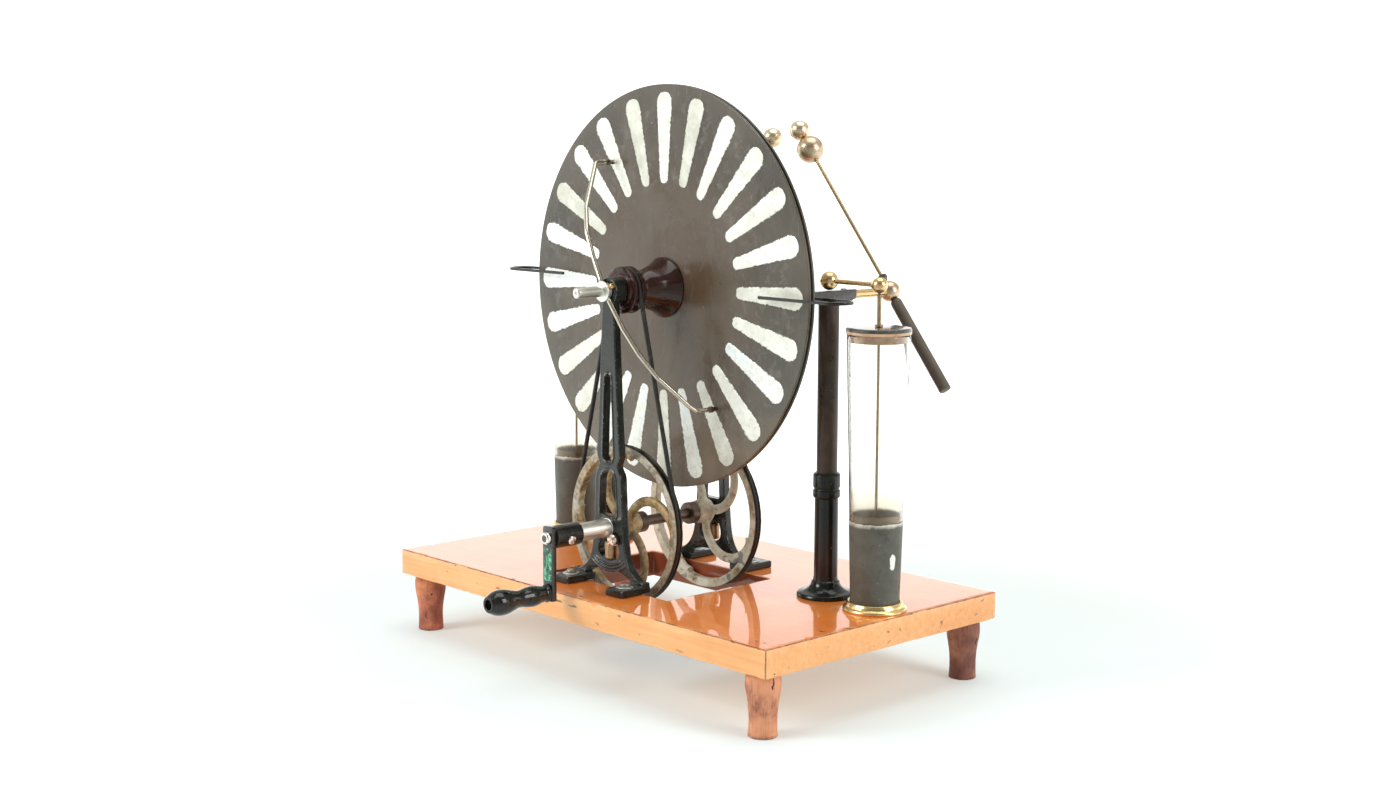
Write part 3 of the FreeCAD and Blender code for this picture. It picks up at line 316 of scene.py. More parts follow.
def plate(name, loops, depth, bevel, mat, frame_of, res=12):
    """Flat piece with bevelled edges from closed outlines (mm).  loops: lists
    of (x, y); the first is the outside.  frame_of maps local (x, y, z) in mm,
    z in 0..depth, to metres."""
    cu = bpy.data.curves.new(name, "CURVE")
    cu.dimensions = "2D"
    cu.fill_mode = "BOTH"
    cu.extrude = max(depth / 2.0 - bevel, 0.0)
    cu.bevel_depth = bevel
    cu.bevel_resolution = 2
    cu.offset = -bevel
    for pts in loops:
        sp = cu.splines.new("POLY")
        sp.points.add(len(pts) - 1)
        for i, (x, y) in enumerate(pts):
            sp.points[i].co = (x, y, 0, 1)
        sp.use_cyclic_u = True
    tmp = bpy.data.objects.new(name + "_tmp", cu)
    coll.objects.link(tmp)
    dg = bpy.context.evaluated_depsgraph_get()
    me = bpy.data.meshes.new_from_object(tmp.evaluated_get(dg))
    bpy.data.objects.remove(tmp)
    bpy.data.curves.remove(cu)
    for v in me.vertices:
        v.co = frame_of(v.co.x, v.co.y, v.co.z + depth / 2.0)
    ob = bpy.data.objects.new(name, me)
    coll.objects.link(ob)
    me.materials.clear()
    if mat is not None:
        me.materials.append(mat)
    return tidy(ob)


def apply_modifiers(ob):
    dg = bpy.context.evaluated_depsgraph_get()
    me = bpy.data.meshes.new_from_object(ob.evaluated_get(dg))
    old = ob.data
    ob.modifiers.clear()
    ob.data = me
    bpy.data.meshes.remove(old)
    return ob


def edge_field(ob, name="edge", steps=2):
    """Stores how sharply convex the surface is at each point, in 1/mm."""
    me = ob.data
    n = len(me.vertices)
    co = np.empty(n * 3); me.vertices.foreach_get("co", co); co = co.reshape(-1, 3) * 1000
    nr = np.empty(n * 3); me.vertices.foreach_get("normal", nr); nr = nr.reshape(-1, 3)
    ed = np.empty(len(me.edges) * 2, dtype=np.int64); me.edges.foreach_get("vertices", ed); ed = ed.reshape(-1, 2)
    cnt = np.bincount(ed.ravel(), minlength=n).astype(float)
    cnt[cnt == 0] = 1

    def mean(f):
        s = np.zeros(f.shape)
        np.add.at(s, ed[:, 0], f[ed[:, 1]])
        np.add.at(s, ed[:, 1], f[ed[:, 0]])
        return s / (cnt[:, None] if f.ndim > 1 else cnt)
    lap = mean(co) - co
    h2 = mean(np.zeros(n)) + 1e-9
    d2 = np.zeros(n)
    l2 = ((co[ed[:, 0]] - co[ed[:, 1]]) ** 2).sum(1)
    np.add.at(d2, ed[:, 0], l2); np.add.at(d2, ed[:, 1], l2)
    d2 /= cnt
    k = -(lap * nr).sum(1) / np.maximum(d2, 1e-6) * 2
    for _ in range(steps):
        k = 0.5 * k + 0.5 * mean(k)
    at = me.attributes.get(name) or me.attributes.new(name, "FLOAT", "POINT")
    at.data.foreach_set("value", np.clip(k, -2, 2).astype(np.float32))
    return ob


def cast(name, obs, mat, voxel=0.8, smooth=3, rough=0.0):
    """Pieces melted into one casting with soft inside corners."""
    ob = join(name, obs, mat)
    md = ob.modifiers.new("melt", "REMESH")
    md.mode = "VOXEL"
    md.voxel_size = voxel / 1000.0
    md.adaptivity = 0.0
    md.use_smooth_shade = True
    sm = ob.modifiers.new("soften", "SMOOTH")
    sm.factor = 0.5
    sm.iterations = smooth
    apply_modifiers(ob)
    if rough:
        me = ob.data
        n = len(me.vertices)
        co = np.empty(n * 3); me.vertices.foreach_get("co", co)
        nr = np.empty(n * 3); me.vertices.foreach_get("normal", nr)
        co, nr = co.reshape(-1, 3), nr.reshape(-1, 3)
        h = np.empty(n)
        for i, p in enumerate((co * 1000).tolist()):
            p = Vector(p)
            h[i] = noise.noise(p * 0.16) * 0.6 + noise.noise(p * 0.55) * 0.4
        co += nr * (h * rough / 1000)[:, None]
        me.vertices.foreach_set("co", co.ravel())
        me.update()
    ob.data.materials.clear()
    ob.data.materials.append(mat)
    for f in ob.data.polygons:
        f.use_smooth = True
    edge_field(ob)
    return ob


def put(ob, body, *nodes, slot=None):
    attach(ob, body)
    if nodes:
        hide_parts(*nodes)
    return ob


def circle(cx, cy, r, n=48, a0=0.0, a1=2 * math.pi):
    full = abs(abs(a1 - a0) - 2 * math.pi) < 1e-9
    m = n if full else n + 1
    return [(cx + r * math.cos(a0 + (a1 - a0) * k / n), cy + r * math.sin(a0 + (a1 - a0) * k / n)) for k in range(m)]


# ===========================================================================
# Materials
# ===========================================================================
class Mat:
    """A small hand for writing node materials."""

    def __init__(self, name, **fixed):
        self.m = bpy.data.materials.new(name)
        self.m.use_nodes = True
        self.t = self.m.node_tree
        self.b = next(n for n in self.t.nodes if n.type == "BSDF_PRINCIPLED")
        self.tc = self.t.nodes.new("ShaderNodeTexCoord")
        self.co = self.tc.outputs["Object"]
        self.fix(**fixed)

    NAMES = {"color": "Base Color", "metal": "Metallic", "rough": "Roughness", "ior": "IOR", "alpha": "Alpha",
             "coat": "Coat Weight", "coat_rough": "Coat Roughness", "coat_ior": "Coat IOR", "sheen": "Sheen Weight",
             "trans": "Transmission Weight", "spec": "Specular IOR Level", "normal": "Normal", "coat_normal": "Coat Normal",
             "emit": "Emission Strength", "emit_color": "Emission Color", "aniso": "Anisotropic", "sss": "Subsurface Weight"}

    def fix(self, **kw):
        for k, v in kw.items():
            s = self.b.inputs[self.NAMES[k]]
            s.default_value = (*v, 1.0) if hasattr(v, "__len__") and len(v) == 3 else v

    def put(self, **kw):
        for k, v in kw.items():
            self.t.links.new(v, self.b.inputs[self.NAMES[k]])
        return self

    def node(self, kind, **props):
        n = self.t.nodes.new(kind)
        for k, v in props.items():
            setattr(n, k, v)
        return n

    def plug(self, sock, v):
        if v is None:
            return
        if isinstance(v, bpy.types.NodeSocket):
            self.t.links.new(v, sock)
        elif hasattr(v, "__len__") and len(v) == 3 and sock.type == "RGBA":
            sock.default_value = (*v, 1.0)
        else:
            sock.default_value = v

    def at(self, x=0.0, y=0.0, z=0.0, scale=(1, 1, 1), rotate=(0, 0, 0)):
        """Object coordinates about a board position, stretched by scale."""
        p = P(x, y, z)
        a = self.node("ShaderNodeVectorMath", operation="SUBTRACT")
        self.plug(a.inputs[0], self.co)
        a.inputs[1].default_value = p
        m = self.node("ShaderNodeMapping")
        m.inputs["Scale"].default_value = scale
        m.inputs["Rotation"].default_value = rotate
        self.plug(m.inputs["Vector"], a.outputs[0])
        return m.outputs[0]

    def stretch(self, scale, vec=None, rotate=(0, 0, 0), loc=(0, 0, 0)):
        m = self.node("ShaderNodeMapping")
        m.inputs["Scale"].default_value = scale
        m.inputs["Rotation"].default_value = rotate
        m.inputs["Location"].default_value = loc
        self.plug(m.inputs["Vector"], vec or self.co)
        return m.outputs[0]

    def noise(self, scale, detail=3.0, rough=0.55, dist=0.0, vec=None):
        n = self.node("ShaderNodeTexNoise")
        n.inputs["Scale"].default_value = scale
        n.inputs["Detail"].default_value = detail
        n.inputs["Roughness"].default_value = rough
        n.inputs["Distortion"].default_value = dist
        self.plug(n.inputs["Vector"], vec or self.co)
        return n.outputs["Fac"]

    def cells(self, scale, feature="F1", vec=None, rand=1.0):
        n = self.node("ShaderNodeTexVoronoi", feature=feature)
        n.inputs["Scale"].default_value = scale
        n.inputs["Randomness"].default_value = rand
        self.plug(n.inputs["Vector"], vec or self.co)
        return n.outputs["Distance"]

    def cell_color(self, scale, vec=None):
        n = self.node("ShaderNodeTexVoronoi")
        n.inputs["Scale"].default_value = scale
        self.plug(n.inputs["Vector"], vec or self.co)
        return n.outputs["Color"]

    def rng(self, v, a, b, c=0.0, d=1.0, smooth=False):
        n = self.node("ShaderNodeMapRange")
        n.interpolation_type = "SMOOTHSTEP" if smooth else "LINEAR"
        n.clamp = True
        self.plug(n.inputs["Value"], v)
        for k, x in (("From Min", a), ("From Max", b), ("To Min", c), ("To Max", d)):
            n.inputs[k].default_value = x
        return n.outputs["Result"]

    def ramp(self, v, stops, mode="LINEAR"):
        n = self.node("ShaderNodeValToRGB")
        cr = n.color_ramp
        cr.interpolation = mode
        while len(cr.elements) > 1:
            cr.elements.remove(cr.elements[-1])
        for i, (p, c) in enumerate(stops):
            e = cr.elements[0] if i == 0 else cr.elements.new(p)
            e.position = p
            e.color = (*c, 1.0) if len(c) == 3 else c
        self.plug(n.inputs["Fac"], v)
        return n.outputs["Color"]

    def mix(self, f, a, b, mode="MIX"):
        n = self.node("ShaderNodeMix", data_type="RGBA", blend_type=mode)
        self.plug(n.inputs[0], f)
        self.plug(n.inputs[6], a)
        self.plug(n.inputs[7], b)
        return n.outputs[2]

    def mixf(self, f, a, b):
        n = self.node("ShaderNodeMix", data_type="FLOAT")
        self.plug(n.inputs[0], f)
        self.plug(n.inputs[2], a)
        self.plug(n.inputs[3], b)
        return n.outputs[0]

    def op(self, kind, a, b=None, c=None, clamp=False):
        n = self.node("ShaderNodeMath", operation=kind)
        n.use_clamp = clamp
        self.plug(n.inputs[0], a)
        if b is not None:
            self.plug(n.inputs[1], b)
        if c is not None:
            self.plug(n.inputs[2], c)
        return n.outputs[0]

    def mul(self, a, b):
        return self.op("MULTIPLY", a, b)

    def add(self, a, b, clamp=False):
        return self.op("ADD", a, b, clamp=clamp)

    def sub(self, a, b, clamp=False):
        return self.op("SUBTRACT", a, b, clamp=clamp)

    def least(self, a, b):
        return self.op("MINIMUM", a, b)

    def most(self, a, b):
        return self.op("MAXIMUM", a, b)

    def inv(self, a):
        return self.op("SUBTRACT", 1.0, a)

    def xyz(self, vec=None):
        n = self.node("ShaderNodeSeparateXYZ")
        self.plug(n.inputs[0], vec or self.co)
        return n.outputs[0], n.outputs[1], n.outputs[2]

    def length(self, vec):
        n = self.node("ShaderNodeVectorMath", operation="LENGTH")
        self.plug(n.inputs[0], vec)
        return n.outputs["Value"]

    def attr(self, name):
        n = self.node("ShaderNodeAttribute")
        n.attribute_name = name
        return n.outputs["Fac"]

    def face_normal(self):
        n = self.node("ShaderNodeNewGeometry")
        return self.xyz(n.outputs["Normal"])

    def bump(self, height, dist=0.0002, strength=1.0, base=None):
        n = self.node("ShaderNodeBump")
        n.inputs["Distance"].default_value = dist
        n.inputs["Strength"].default_value = strength
        self.plug(n.inputs["Height"], height)
        if base is not None:
            self.plug(n.inputs["Normal"], base)
        return n.outputs[0]


def mat_board():
    M = Mat("varnished_board", rough=0.30, coat=1.0, coat_rough=0.025, coat_ior=1.58, spec=0.2)
    x, y, z = M.xyz()
    nx, ny, nz = M.face_normal()
    top = M.rng(nz, 0.55, 0.85, smooth=True)
    # painted shade: the walls of the opening cut through the board are painted near-black red, standing in for the
    # shade inside the opening
    inwin = M.least(M.rng(M.op("ABSOLUTE", x), 0.1005, 0.1015, 1, 0), M.rng(M.op("ABSOLUTE", M.sub(y, 0.0135)), 0.0785, 0.0795, 1, 0))
    inside = M.mul(inwin, M.inv(top))
    warp = M.noise(3.2, 2, 0.5)
    grain_vec = M.stretch((2.2, 60.0, 60.0))
    grain = M.noise(3.0, 5, 0.6, 0.6, vec=grain_vec)
    fine = M.noise(14.0, 4, 0.6, 0.2, vec=M.stretch((3.0, 130.0, 130.0)))
    cloud = M.noise(9.0, 4, 0.6)
    topc = M.ramp(M.add(M.mul(grain, 0.35), M.mul(cloud, 0.65)),
                  [(0.30, (0.74, 0.170, 0.018)), (0.5, (0.83, 0.225, 0.030)), (0.7, (0.88, 0.280, 0.048))])
    sidec = M.ramp(M.add(M.mul(grain, 0.5), M.mul(cloud, 0.5)),
                   [(0.32, (0.80, 0.31, 0.085)), (0.5, (0.90, 0.41, 0.135)), (0.68, (0.95, 0.50, 0.200))])
    opening_wall_shade_col = M.ramp(cloud, [(0.35, (0.16, 0.028, 0.010)), (0.65, (0.36, 0.085, 0.026))])
    col = M.mix(top, sidec, topc)
    col = M.mix(inside, col, opening_wall_shade_col)
    col = M.mix(M.rng(fine, 0.55, 0.8, 0, 0.10), col, (0.35, 0.09, 0.02), "MULTIPLY")
    # distance from the nearest outer arris
    dx = M.sub(0.311, M.op("ABSOLUTE", x))
    dy = M.sub(0.179, M.op("ABSOLUTE", M.sub(y, 0.0515)))
    dz = M.sub(0.097, z)
    near = M.least(M.least(M.most(dx, dz), M.most(dy, dz)), M.most(dx, dy))
    ragged = M.add(near, M.mul(M.sub(M.noise(420, 3), 0.5), 0.0016))
    line = M.mul(M.rng(ragged, 0.0006, 0.0014, 1, 0), M.rng(M.noise(30, 3), 0.36, 0.48))
    col = M.mix(M.mul(line, 0.9), col, (0.13, 0.036, 0.014))
    # nicks and dents, thickest near the arrises, long with the grain
    nick = M.rng(M.noise(120, 2, 0.4, 0.4, vec=M.stretch((0.5, 1.0, 1.6))), 0.705, 0.735)
    close = M.rng(near, 0.002, 0.035, 1, 0.15)
    nick = M.mul(nick, close)
    col = M.mix(nick, col, (0.055, 0.018, 0.010))
    scr = M.rng(M.noise(9, 2, 0.5, 2.0, vec=M.stretch((60, 9, 9), rotate=(0, 0, 0.5))), 0.70, 0.73)
    scr = M.mul(scr, M.rng(M.noise(16, 2), 0.46, 0.58))
    col = M.mix(M.mul(scr, 0.5), col, (0.20, 0.06, 0.03))
    worn = M.mul(M.rng(near, 0.0, 0.010, 1, 0), M.rng(M.noise(70, 4), 0.45, 0.7))
    col = M.mix(M.mul(worn, 0.45), col, (0.90, 0.52, 0.24))
    M.put(color=col)
    M.put(rough=M.mixf(top, 0.52, 0.34))
    wave = M.add(M.mul(M.noise(18, 2, 0.4), 1.0), M.mul(M.noise(90, 2, 0.5), 0.12))
    dents = M.mul(M.add(nick, M.mul(scr, 0.4)), -0.6)
    M.put(normal=M.bump(M.add(M.mul(grain, 0.3), dents), 0.0004, 0.5))
    M.put(coat_normal=M.bump(M.add(wave, dents), 0.00035, 0.5))
    return M.m


def mat_foot():
    M = Mat("stained_foot", rough=0.62, spec=0.4)
    grain = M.noise(6, 5, 0.62, 0.5, vec=M.stretch((70, 70, 4)))
    rings = M.noise(5, 3, 0.6, 0.2, vec=M.stretch((6, 6, 120)))
    cloud = M.noise(26, 4, 0.6)
    v = M.add(M.mul(grain, 0.22), M.mul(cloud, 0.78))
    col = M.ramp(v, [(0.30, (0.115, 0.030, 0.020)), (0.47, (0.30, 0.092, 0.056)), (0.56, (0.45, 0.160, 0.094)), (0.68, (0.66, 0.27, 0.150))])
    x, y, z = M.xyz()
    # the crank-side corner foot is paler in patches
    pale = M.mul(M.rng(x, 0.2, 0.25), M.rng(y, -0.05, -0.09))
    paler_patch = M.mul(pale, M.rng(M.add(cloud, M.mul(grain, 0.4)), 0.58, 0.82))
    col = M.mix(M.mul(paler_patch, 0.80), col, (0.80, 0.36, 0.19))
    left = M.rng(x, -0.2, -0.25)
    # painted highlights: gold patches on the upper part of the two left feet stand in for highlights
    painted_gold_highlight = M.mul(left, M.mul(M.rng(z, 0.04, 0.062), M.rng(cloud, 0.5, 0.6)))
    col = M.mix(M.mul(painted_gold_highlight, 0.5), col, (0.62, 0.26, 0.06))
    # painted light: the two left feet are made brighter and the far right foot darker and cooler, as lit and shaded
    # copies of one stain
    col = M.mix(M.mul(left, 0.5), col, (1.5, 1.35, 1.2), "MULTIPLY")
    col = M.mix(M.mul(M.rng(x, 0.2, 0.25), M.rng(y, 0.1, 0.14)), col, (0.74, 0.90, 1.0), "MULTIPLY")
    nick = M.rng(M.noise(170, 2, 0.4, 0.3, vec=M.stretch((1, 1, 0.55))), 0.70, 0.74)
    col = M.mix(nick, col, (0.035, 0.015, 0.012))
    # painted shade: darker in patches over the bottom 4 mm, where the foot stands on the floor
    base = M.mul(M.rng(z, 0.0, 0.004, 1, 0), M.rng(M.noise(220, 2), 0.35, 0.6))
    col = M.mix(M.mul(base, 0.8), col, (0.05, 0.02, 0.015))
    M.put(color=col, rough=M.rng(cloud, 0.3, 0.7, 0.5, 0.72))
    h = M.add(M.mul(grain, 0.4), M.add(M.mul(rings, 0.35), M.mul(nick, -0.8)))
    M.put(normal=M.bump(h, 0.0005, 0.55))
    return M.m


def mat_enamel(name="black_enamel", chips=1.0, tone=(0.006, 0.008, 0.006)):
    M = Mat(name, rough=0.3, spec=0.38, coat=0.16, coat_rough=0.04)
    edge = M.attr("edge")
    n1 = M.noise(130, 4, 0.6)
    n2 = M.noise(420, 3, 0.6)
    n3 = M.noise(34, 3, 0.6)
    e = M.rng(edge, 0.10, 0.55, 0, 1)
    chip = M.rng(M.add(M.mul(e, 0.42), M.add(M.mul(n1, 0.42), M.mul(n3, 0.34))), 0.665 - 0.03 * chips, 0.70 - 0.03 * chips)
    speck = M.rng(n2, 0.715, 0.745)
    bare = M.ramp(n2, [(0.35, (0.055, 0.048, 0.040)), (0.5, (0.16, 0.155, 0.145)), (0.66, (0.36, 0.36, 0.34))])
    paint = M.mix(M.rng(n3, 0.35, 0.65), tone, tuple(t * 1.9 + 0.006 for t in tone))
    col = M.mix(M.mul(speck, 0.55), paint, (0.22, 0.21, 0.19))
    nx, ny, nz = M.face_normal()
    # upward-facing faces are lighter: dust lying on them, and partly a painted sheen standing in for light from above
    top_dust_and_sheen = M.mul(M.rng(nz, 0.75, 0.95), M.rng(n3, 0.3, 0.6, 0.35, 0.8))
    col = M.mix(M.mul(top_dust_and_sheen, 0.6), col, (0.13, 0.13, 0.11))
    col = M.mix(chip, col, bare)
    M.put(color=col)
    M.put(rough=M.mixf(chip, M.rng(n1, 0.3, 0.7, 0.14, 0.26), 0.5))
    M.put(metal=M.mul(chip, 0.35))
    h = M.add(M.mul(M.noise(230, 3, 0.6), 0.5), M.add(M.mul(n3, 0.8), M.mul(chip, -0.8)))
    M.put(normal=M.bump(h, 0.00022, 0.5))
    return M.m


def mat_wheel(name, front):
    """Cast wheel: cream paint over bronze, worn and stained."""
    M = Mat(name, rough=0.5, spec=0.4)
    edge = M.attr("edge")
    n1 = M.noise(60, 5, 0.65)
    n2 = M.noise(190, 4, 0.6)
    n3 = M.noise(22, 3, 0.6)
    n4 = M.noise(520, 2, 0.6)
    cream = M.ramp(n1, [(0.30, (0.36, 0.30, 0.20)), (0.45, (0.56, 0.50, 0.38)), (0.62, (0.70, 0.66, 0.54))])
    bronze = M.ramp(M.add(M.mul(n2, 0.6), M.mul(n1, 0.4)),
                    [(0.32, (0.10, 0.060, 0.026)), (0.47, (0.30, 0.200, 0.088)), (0.60, (0.48, 0.345, 0.165)), (0.74, (0.64, 0.54, 0.33))])
    c = P(0, -89.7 if front else 30.5, 65.5)
    v = M.at(0, -89.7 if front else 30.5, 65.5)
    vx, vy, vz = M.xyz(v)
    rad = M.length(M.stretch((1, 0, 1), vec=v))
    if front:
        cover = M.rng(M.add(M.mul(n3, 0.6), M.mul(n1, 0.4)), 0.50, 0.60)
        cover = M.mul(cover, M.rng(rad, 0.076, 0.079, 0.22, 0.95))
    else:
        cover = M.rng(M.add(M.mul(n3, 0.5), M.mul(n1, 0.5)), 0.37, 0.47)
    worn = M.rng(M.add(M.mul(M.rng(edge, 0.1, 0.5), 0.35), M.mul(n2, 0.65)), 0.52, 0.62)
    cover = M.mul(cover, M.inv(M.mul(worn, 0.75)))
    col = M.mix(cover, bronze, cream)
    stain = M.rng(M.noise(95, 4, 0.7, 0.8), 0.60, 0.66)
    col = M.mix(M.mul(stain, 0.75), col, (0.10, 0.058, 0.030))
    speck = M.rng(n4, 0.70, 0.74)
    col = M.mix(M.mul(speck, 0.8), col, (0.03, 0.022, 0.018))
    if front:
        # the flat side of the rim is bare grey
        nx, ny, nz = M.face_normal()
        side = M.mul(M.rng(M.op("ABSOLUTE", ny), 0.8, 0.95), M.rng(rad, 0.0800, 0.0812))
        grey = M.ramp(n2, [(0.35, (0.16, 0.155, 0.135)), (0.5, (0.34, 0.33, 0.30)), (0.68, (0.56, 0.54, 0.48))])
        col = M.mix(M.mul(side, M.rng(n3, 0.4, 0.6, 0.35, 0.75)), col, grey)
    else:
        patch = M.rng(M.noise(30, 2), 0.66, 0.68)
        col = M.mix(M.mul(patch, 0.8), col, (0.13, 0.14, 0.13))
    # the groove and the outside run black with belt dressing
    outer = M.rng(rad, 0.0868 if front else 0.0872, 0.0885 if front else 0.0890)
    ny_ = M.op("ABSOLUTE", vy)
    groove = M.mul(M.rng(rad, 0.0830, 0.0838), M.rng(ny_, 0.0040, 0.0046, 1, 0))
    col = M.mix(M.mul(groove, 0.95), col, (0.012, 0.011, 0.010))
    rim_edge = M.mul(M.rng(rad, 0.0886, 0.0893), M.rng(n1, 0.3, 0.5))
    col = M.mix(M.mul(rim_edge, 0.8), col, (0.02, 0.019, 0.017))
    M.put(color=col)
    M.put(rough=M.rng(n2, 0.3, 0.7, 0.34, 0.62), metal=M.mul(M.inv(cover), 0.25))
    h = M.add(M.mul(n2, 0.6), M.add(M.mul(cover, 0.35), M.mul(n4, 0.3)))
    M.put(normal=M.bump(h, 0.0004, 0.6))
    return M.m


def mat_nickel(name="dull_nickel", tone=(0.56, 0.53, 0.48), stain=0.5, rough=(0.24, 0.42), speck=0.7):
    M = Mat(name, metal=1.0, rough=0.3)
    n1 = M.noise(70, 4, 0.62)
    n2 = M.noise(360, 3, 0.6)
    n3 = M.noise(24, 3, 0.6, 0.4)
    col = M.mix(M.rng(n1, 0.4, 0.7), tone, tuple(t * 0.80 for t in tone))
    col = M.mix(M.mul(M.rng(n3, 0.52, 0.68), stain), col, (0.30, 0.20, 0.12))
    col = M.mix(M.mul(M.rng(n2, 0.68, 0.74), speck), col, (0.07, 0.05, 0.035))
    M.put(color=col, rough=M.rng(M.add(M.mul(n1, 0.6), M.mul(n3, 0.4)), 0.35, 0.65, *rough))
    M.put(normal=M.bump(M.add(M.mul(n2, 0.5), n1), 0.00004, 0.4))
    return M.m


def mat_brass(name="aged_brass", tone=(0.60, 0.40, 0.235), rough=(0.20, 0.36), dark=0.5, pink=0.35):
    M = Mat(name, metal=1.0, rough=0.28)
    n1 = M.noise(55, 4, 0.6, 0.3)
    n2 = M.noise(300, 3, 0.6)
    n3 = M.noise(120, 4, 0.65, 0.5)
    col = M.mix(M.rng(n1, 0.35, 0.65), tone, (tone[0] * 0.92, tone[1] * 0.82, tone[2] * 0.84))
    col = M.mix(M.mul(M.rng(n3, 0.5, 0.72), dark), col, (tone[0] * 0.36, tone[1] * 0.30, tone[2] * 0.26))
    col = M.mix(M.mul(M.rng(n1, 0.55, 0.75), pink), col, (0.62, 0.36, 0.25))
    col = M.mix(M.mul(M.rng(n2, 0.70, 0.75), 0.5), col, (0.06, 0.035, 0.02))
    M.put(color=col, rough=M.rng(M.add(M.mul(n1, 0.5), M.mul(n3, 0.5)), 0.35, 0.65, *rough))
    M.put(normal=M.bump(M.add(M.mul(n2, 0.4), M.mul(n1, 0.6)), 0.00004, 0.4))
    return M.m


def mat_ebonite(name, tone, tone2, rough=(0.14, 0.26), scratch=0.4, coat=0.3, dust=0.2, spec=0.5):
    M = Mat(name, rough=0.2, spec=spec, coat=coat, coat_rough=0.06)
    n1 = M.noise(28, 4, 0.6, 0.3)
    n2 = M.noise(260, 3, 0.65)
    n3 = M.noise(8, 3, 0.6, 0.3, vec=M.stretch((40, 40, 3)))
    col = M.mix(M.rng(n1, 0.35, 0.68), tone, tone2)
    col = M.mix(M.mul(M.rng(n3, 0.5, 0.7), 0.35), col, tuple(0.6 * a + 0.4 * b for a, b in zip(tone2, (0.16, 0.12, 0.09))))
    col = M.mix(M.mul(M.rng(n2, 0.66, 0.72), dust), col, (0.30, 0.27, 0.23))
    M.put(color=col, rough=M.rng(M.add(M.mul(n1, 0.5), M.mul(n2, 0.5)), 0.35, 0.65, *rough))
    M.put(normal=M.bump(M.add(M.mul(n2, 0.4), M.mul(n3, 0.5 * scratch)), 0.0001, 0.5))
    return M.m


def mat_disc(name, rear=False):
    """Polished hard rubber, a little browner towards the middle, with fine
    turning marks, dust and scuffs."""
    M = Mat(name, rough=0.28, spec=0.42, coat=0.12, coat_rough=0.10)
    v = M.at(0, 0, 328)
    x, y, z = M.xyz(v)
    rad = M.length(M.stretch((1, 0, 1), vec=v))
    ringv = M.node("ShaderNodeCombineXYZ")
    M.plug(ringv.inputs[0], M.mul(rad, 1.0))
    rings = M.noise(900, 3, 0.7, vec=ringv.outputs[0])
    rings2 = M.noise(120, 3, 0.6, vec=ringv.outputs[0])
    cloud = M.noise(11, 4, 0.6, 0.5)
    smear = M.noise(5, 4, 0.62, 0.8, vec=M.stretch((9, 9, 3), rotate=(0, 0.6, 0)))
    fine = M.noise(330, 3, 0.65)
    base = M.ramp(M.rng(rad, 0.02, 0.225), [(0.0, (0.094, 0.058, 0.034)), (0.42, (0.088, 0.058, 0.036)), (0.62, (0.064, 0.048, 0.032)), (0.86, (0.044, 0.040, 0.029)), (1.0, (0.062, 0.058, 0.043))])
    col = M.mix(M.rng(cloud, 0.35, 0.7), base, (0.112, 0.090, 0.066))
    col = M.mix(M.mul(M.rng(smear, 0.52, 0.72), 0.35), col, (0.140, 0.126, 0.098))
    col = M.mix(M.mul(M.rng(rings2, 0.5, 0.75), 0.22), col, (0.125, 0.110, 0.085))
    col = M.mix(M.mul(M.rng(fine, 0.66, 0.72), 0.25), col, (0.28, 0.27, 0.24))
    ringed = M.mul(M.rng(rad, 0.098, 0.125), M.rng(rad, 0.205, 0.218, 1, 0))
    dusty = M.mul(M.rng(M.noise(70, 5, 0.7, 0.6), 0.54, 0.70), ringed)
    col = M.mix(M.mul(dusty, 0.30), col, (0.30, 0.30, 0.26))
    fleck = M.mul(M.rng(M.noise(210, 3, 0.6), 0.70, 0.74), ringed)
    col = M.mix(M.mul(fleck, 0.5), col, (0.50, 0.50, 0.45))
    # painted sheen: towards the bottom the plate is made lighter and browner in patches
    low = M.mul(M.rng(z, -0.09, -0.19), M.rng(cloud, 0.3, 0.6, 0.5, 1.0))
    col = M.mix(M.mul(low, 0.7), col, (0.20, 0.150, 0.100))
    hair = M.rng(M.noise(7, 1, 0.4, 1.6, vec=M.stretch((45, 45, 5), rotate=(0, 0.9, 0))), 0.735, 0.75)
    col = M.mix(M.mul(hair, 0.4), col, (0.25, 0.23, 0.20))
    M.put(color=col)
    r = M.add(M.rng(cloud, 0.3, 0.7, 0.22, 0.34), M.mul(M.rng(smear, 0.5, 0.75), 0.14))
    M.put(rough=r)
    M.put(normal=M.bump(M.add(M.mul(rings, 0.5), M.mul(cloud, 2.0)), 0.00006, 0.6))
    return M.m


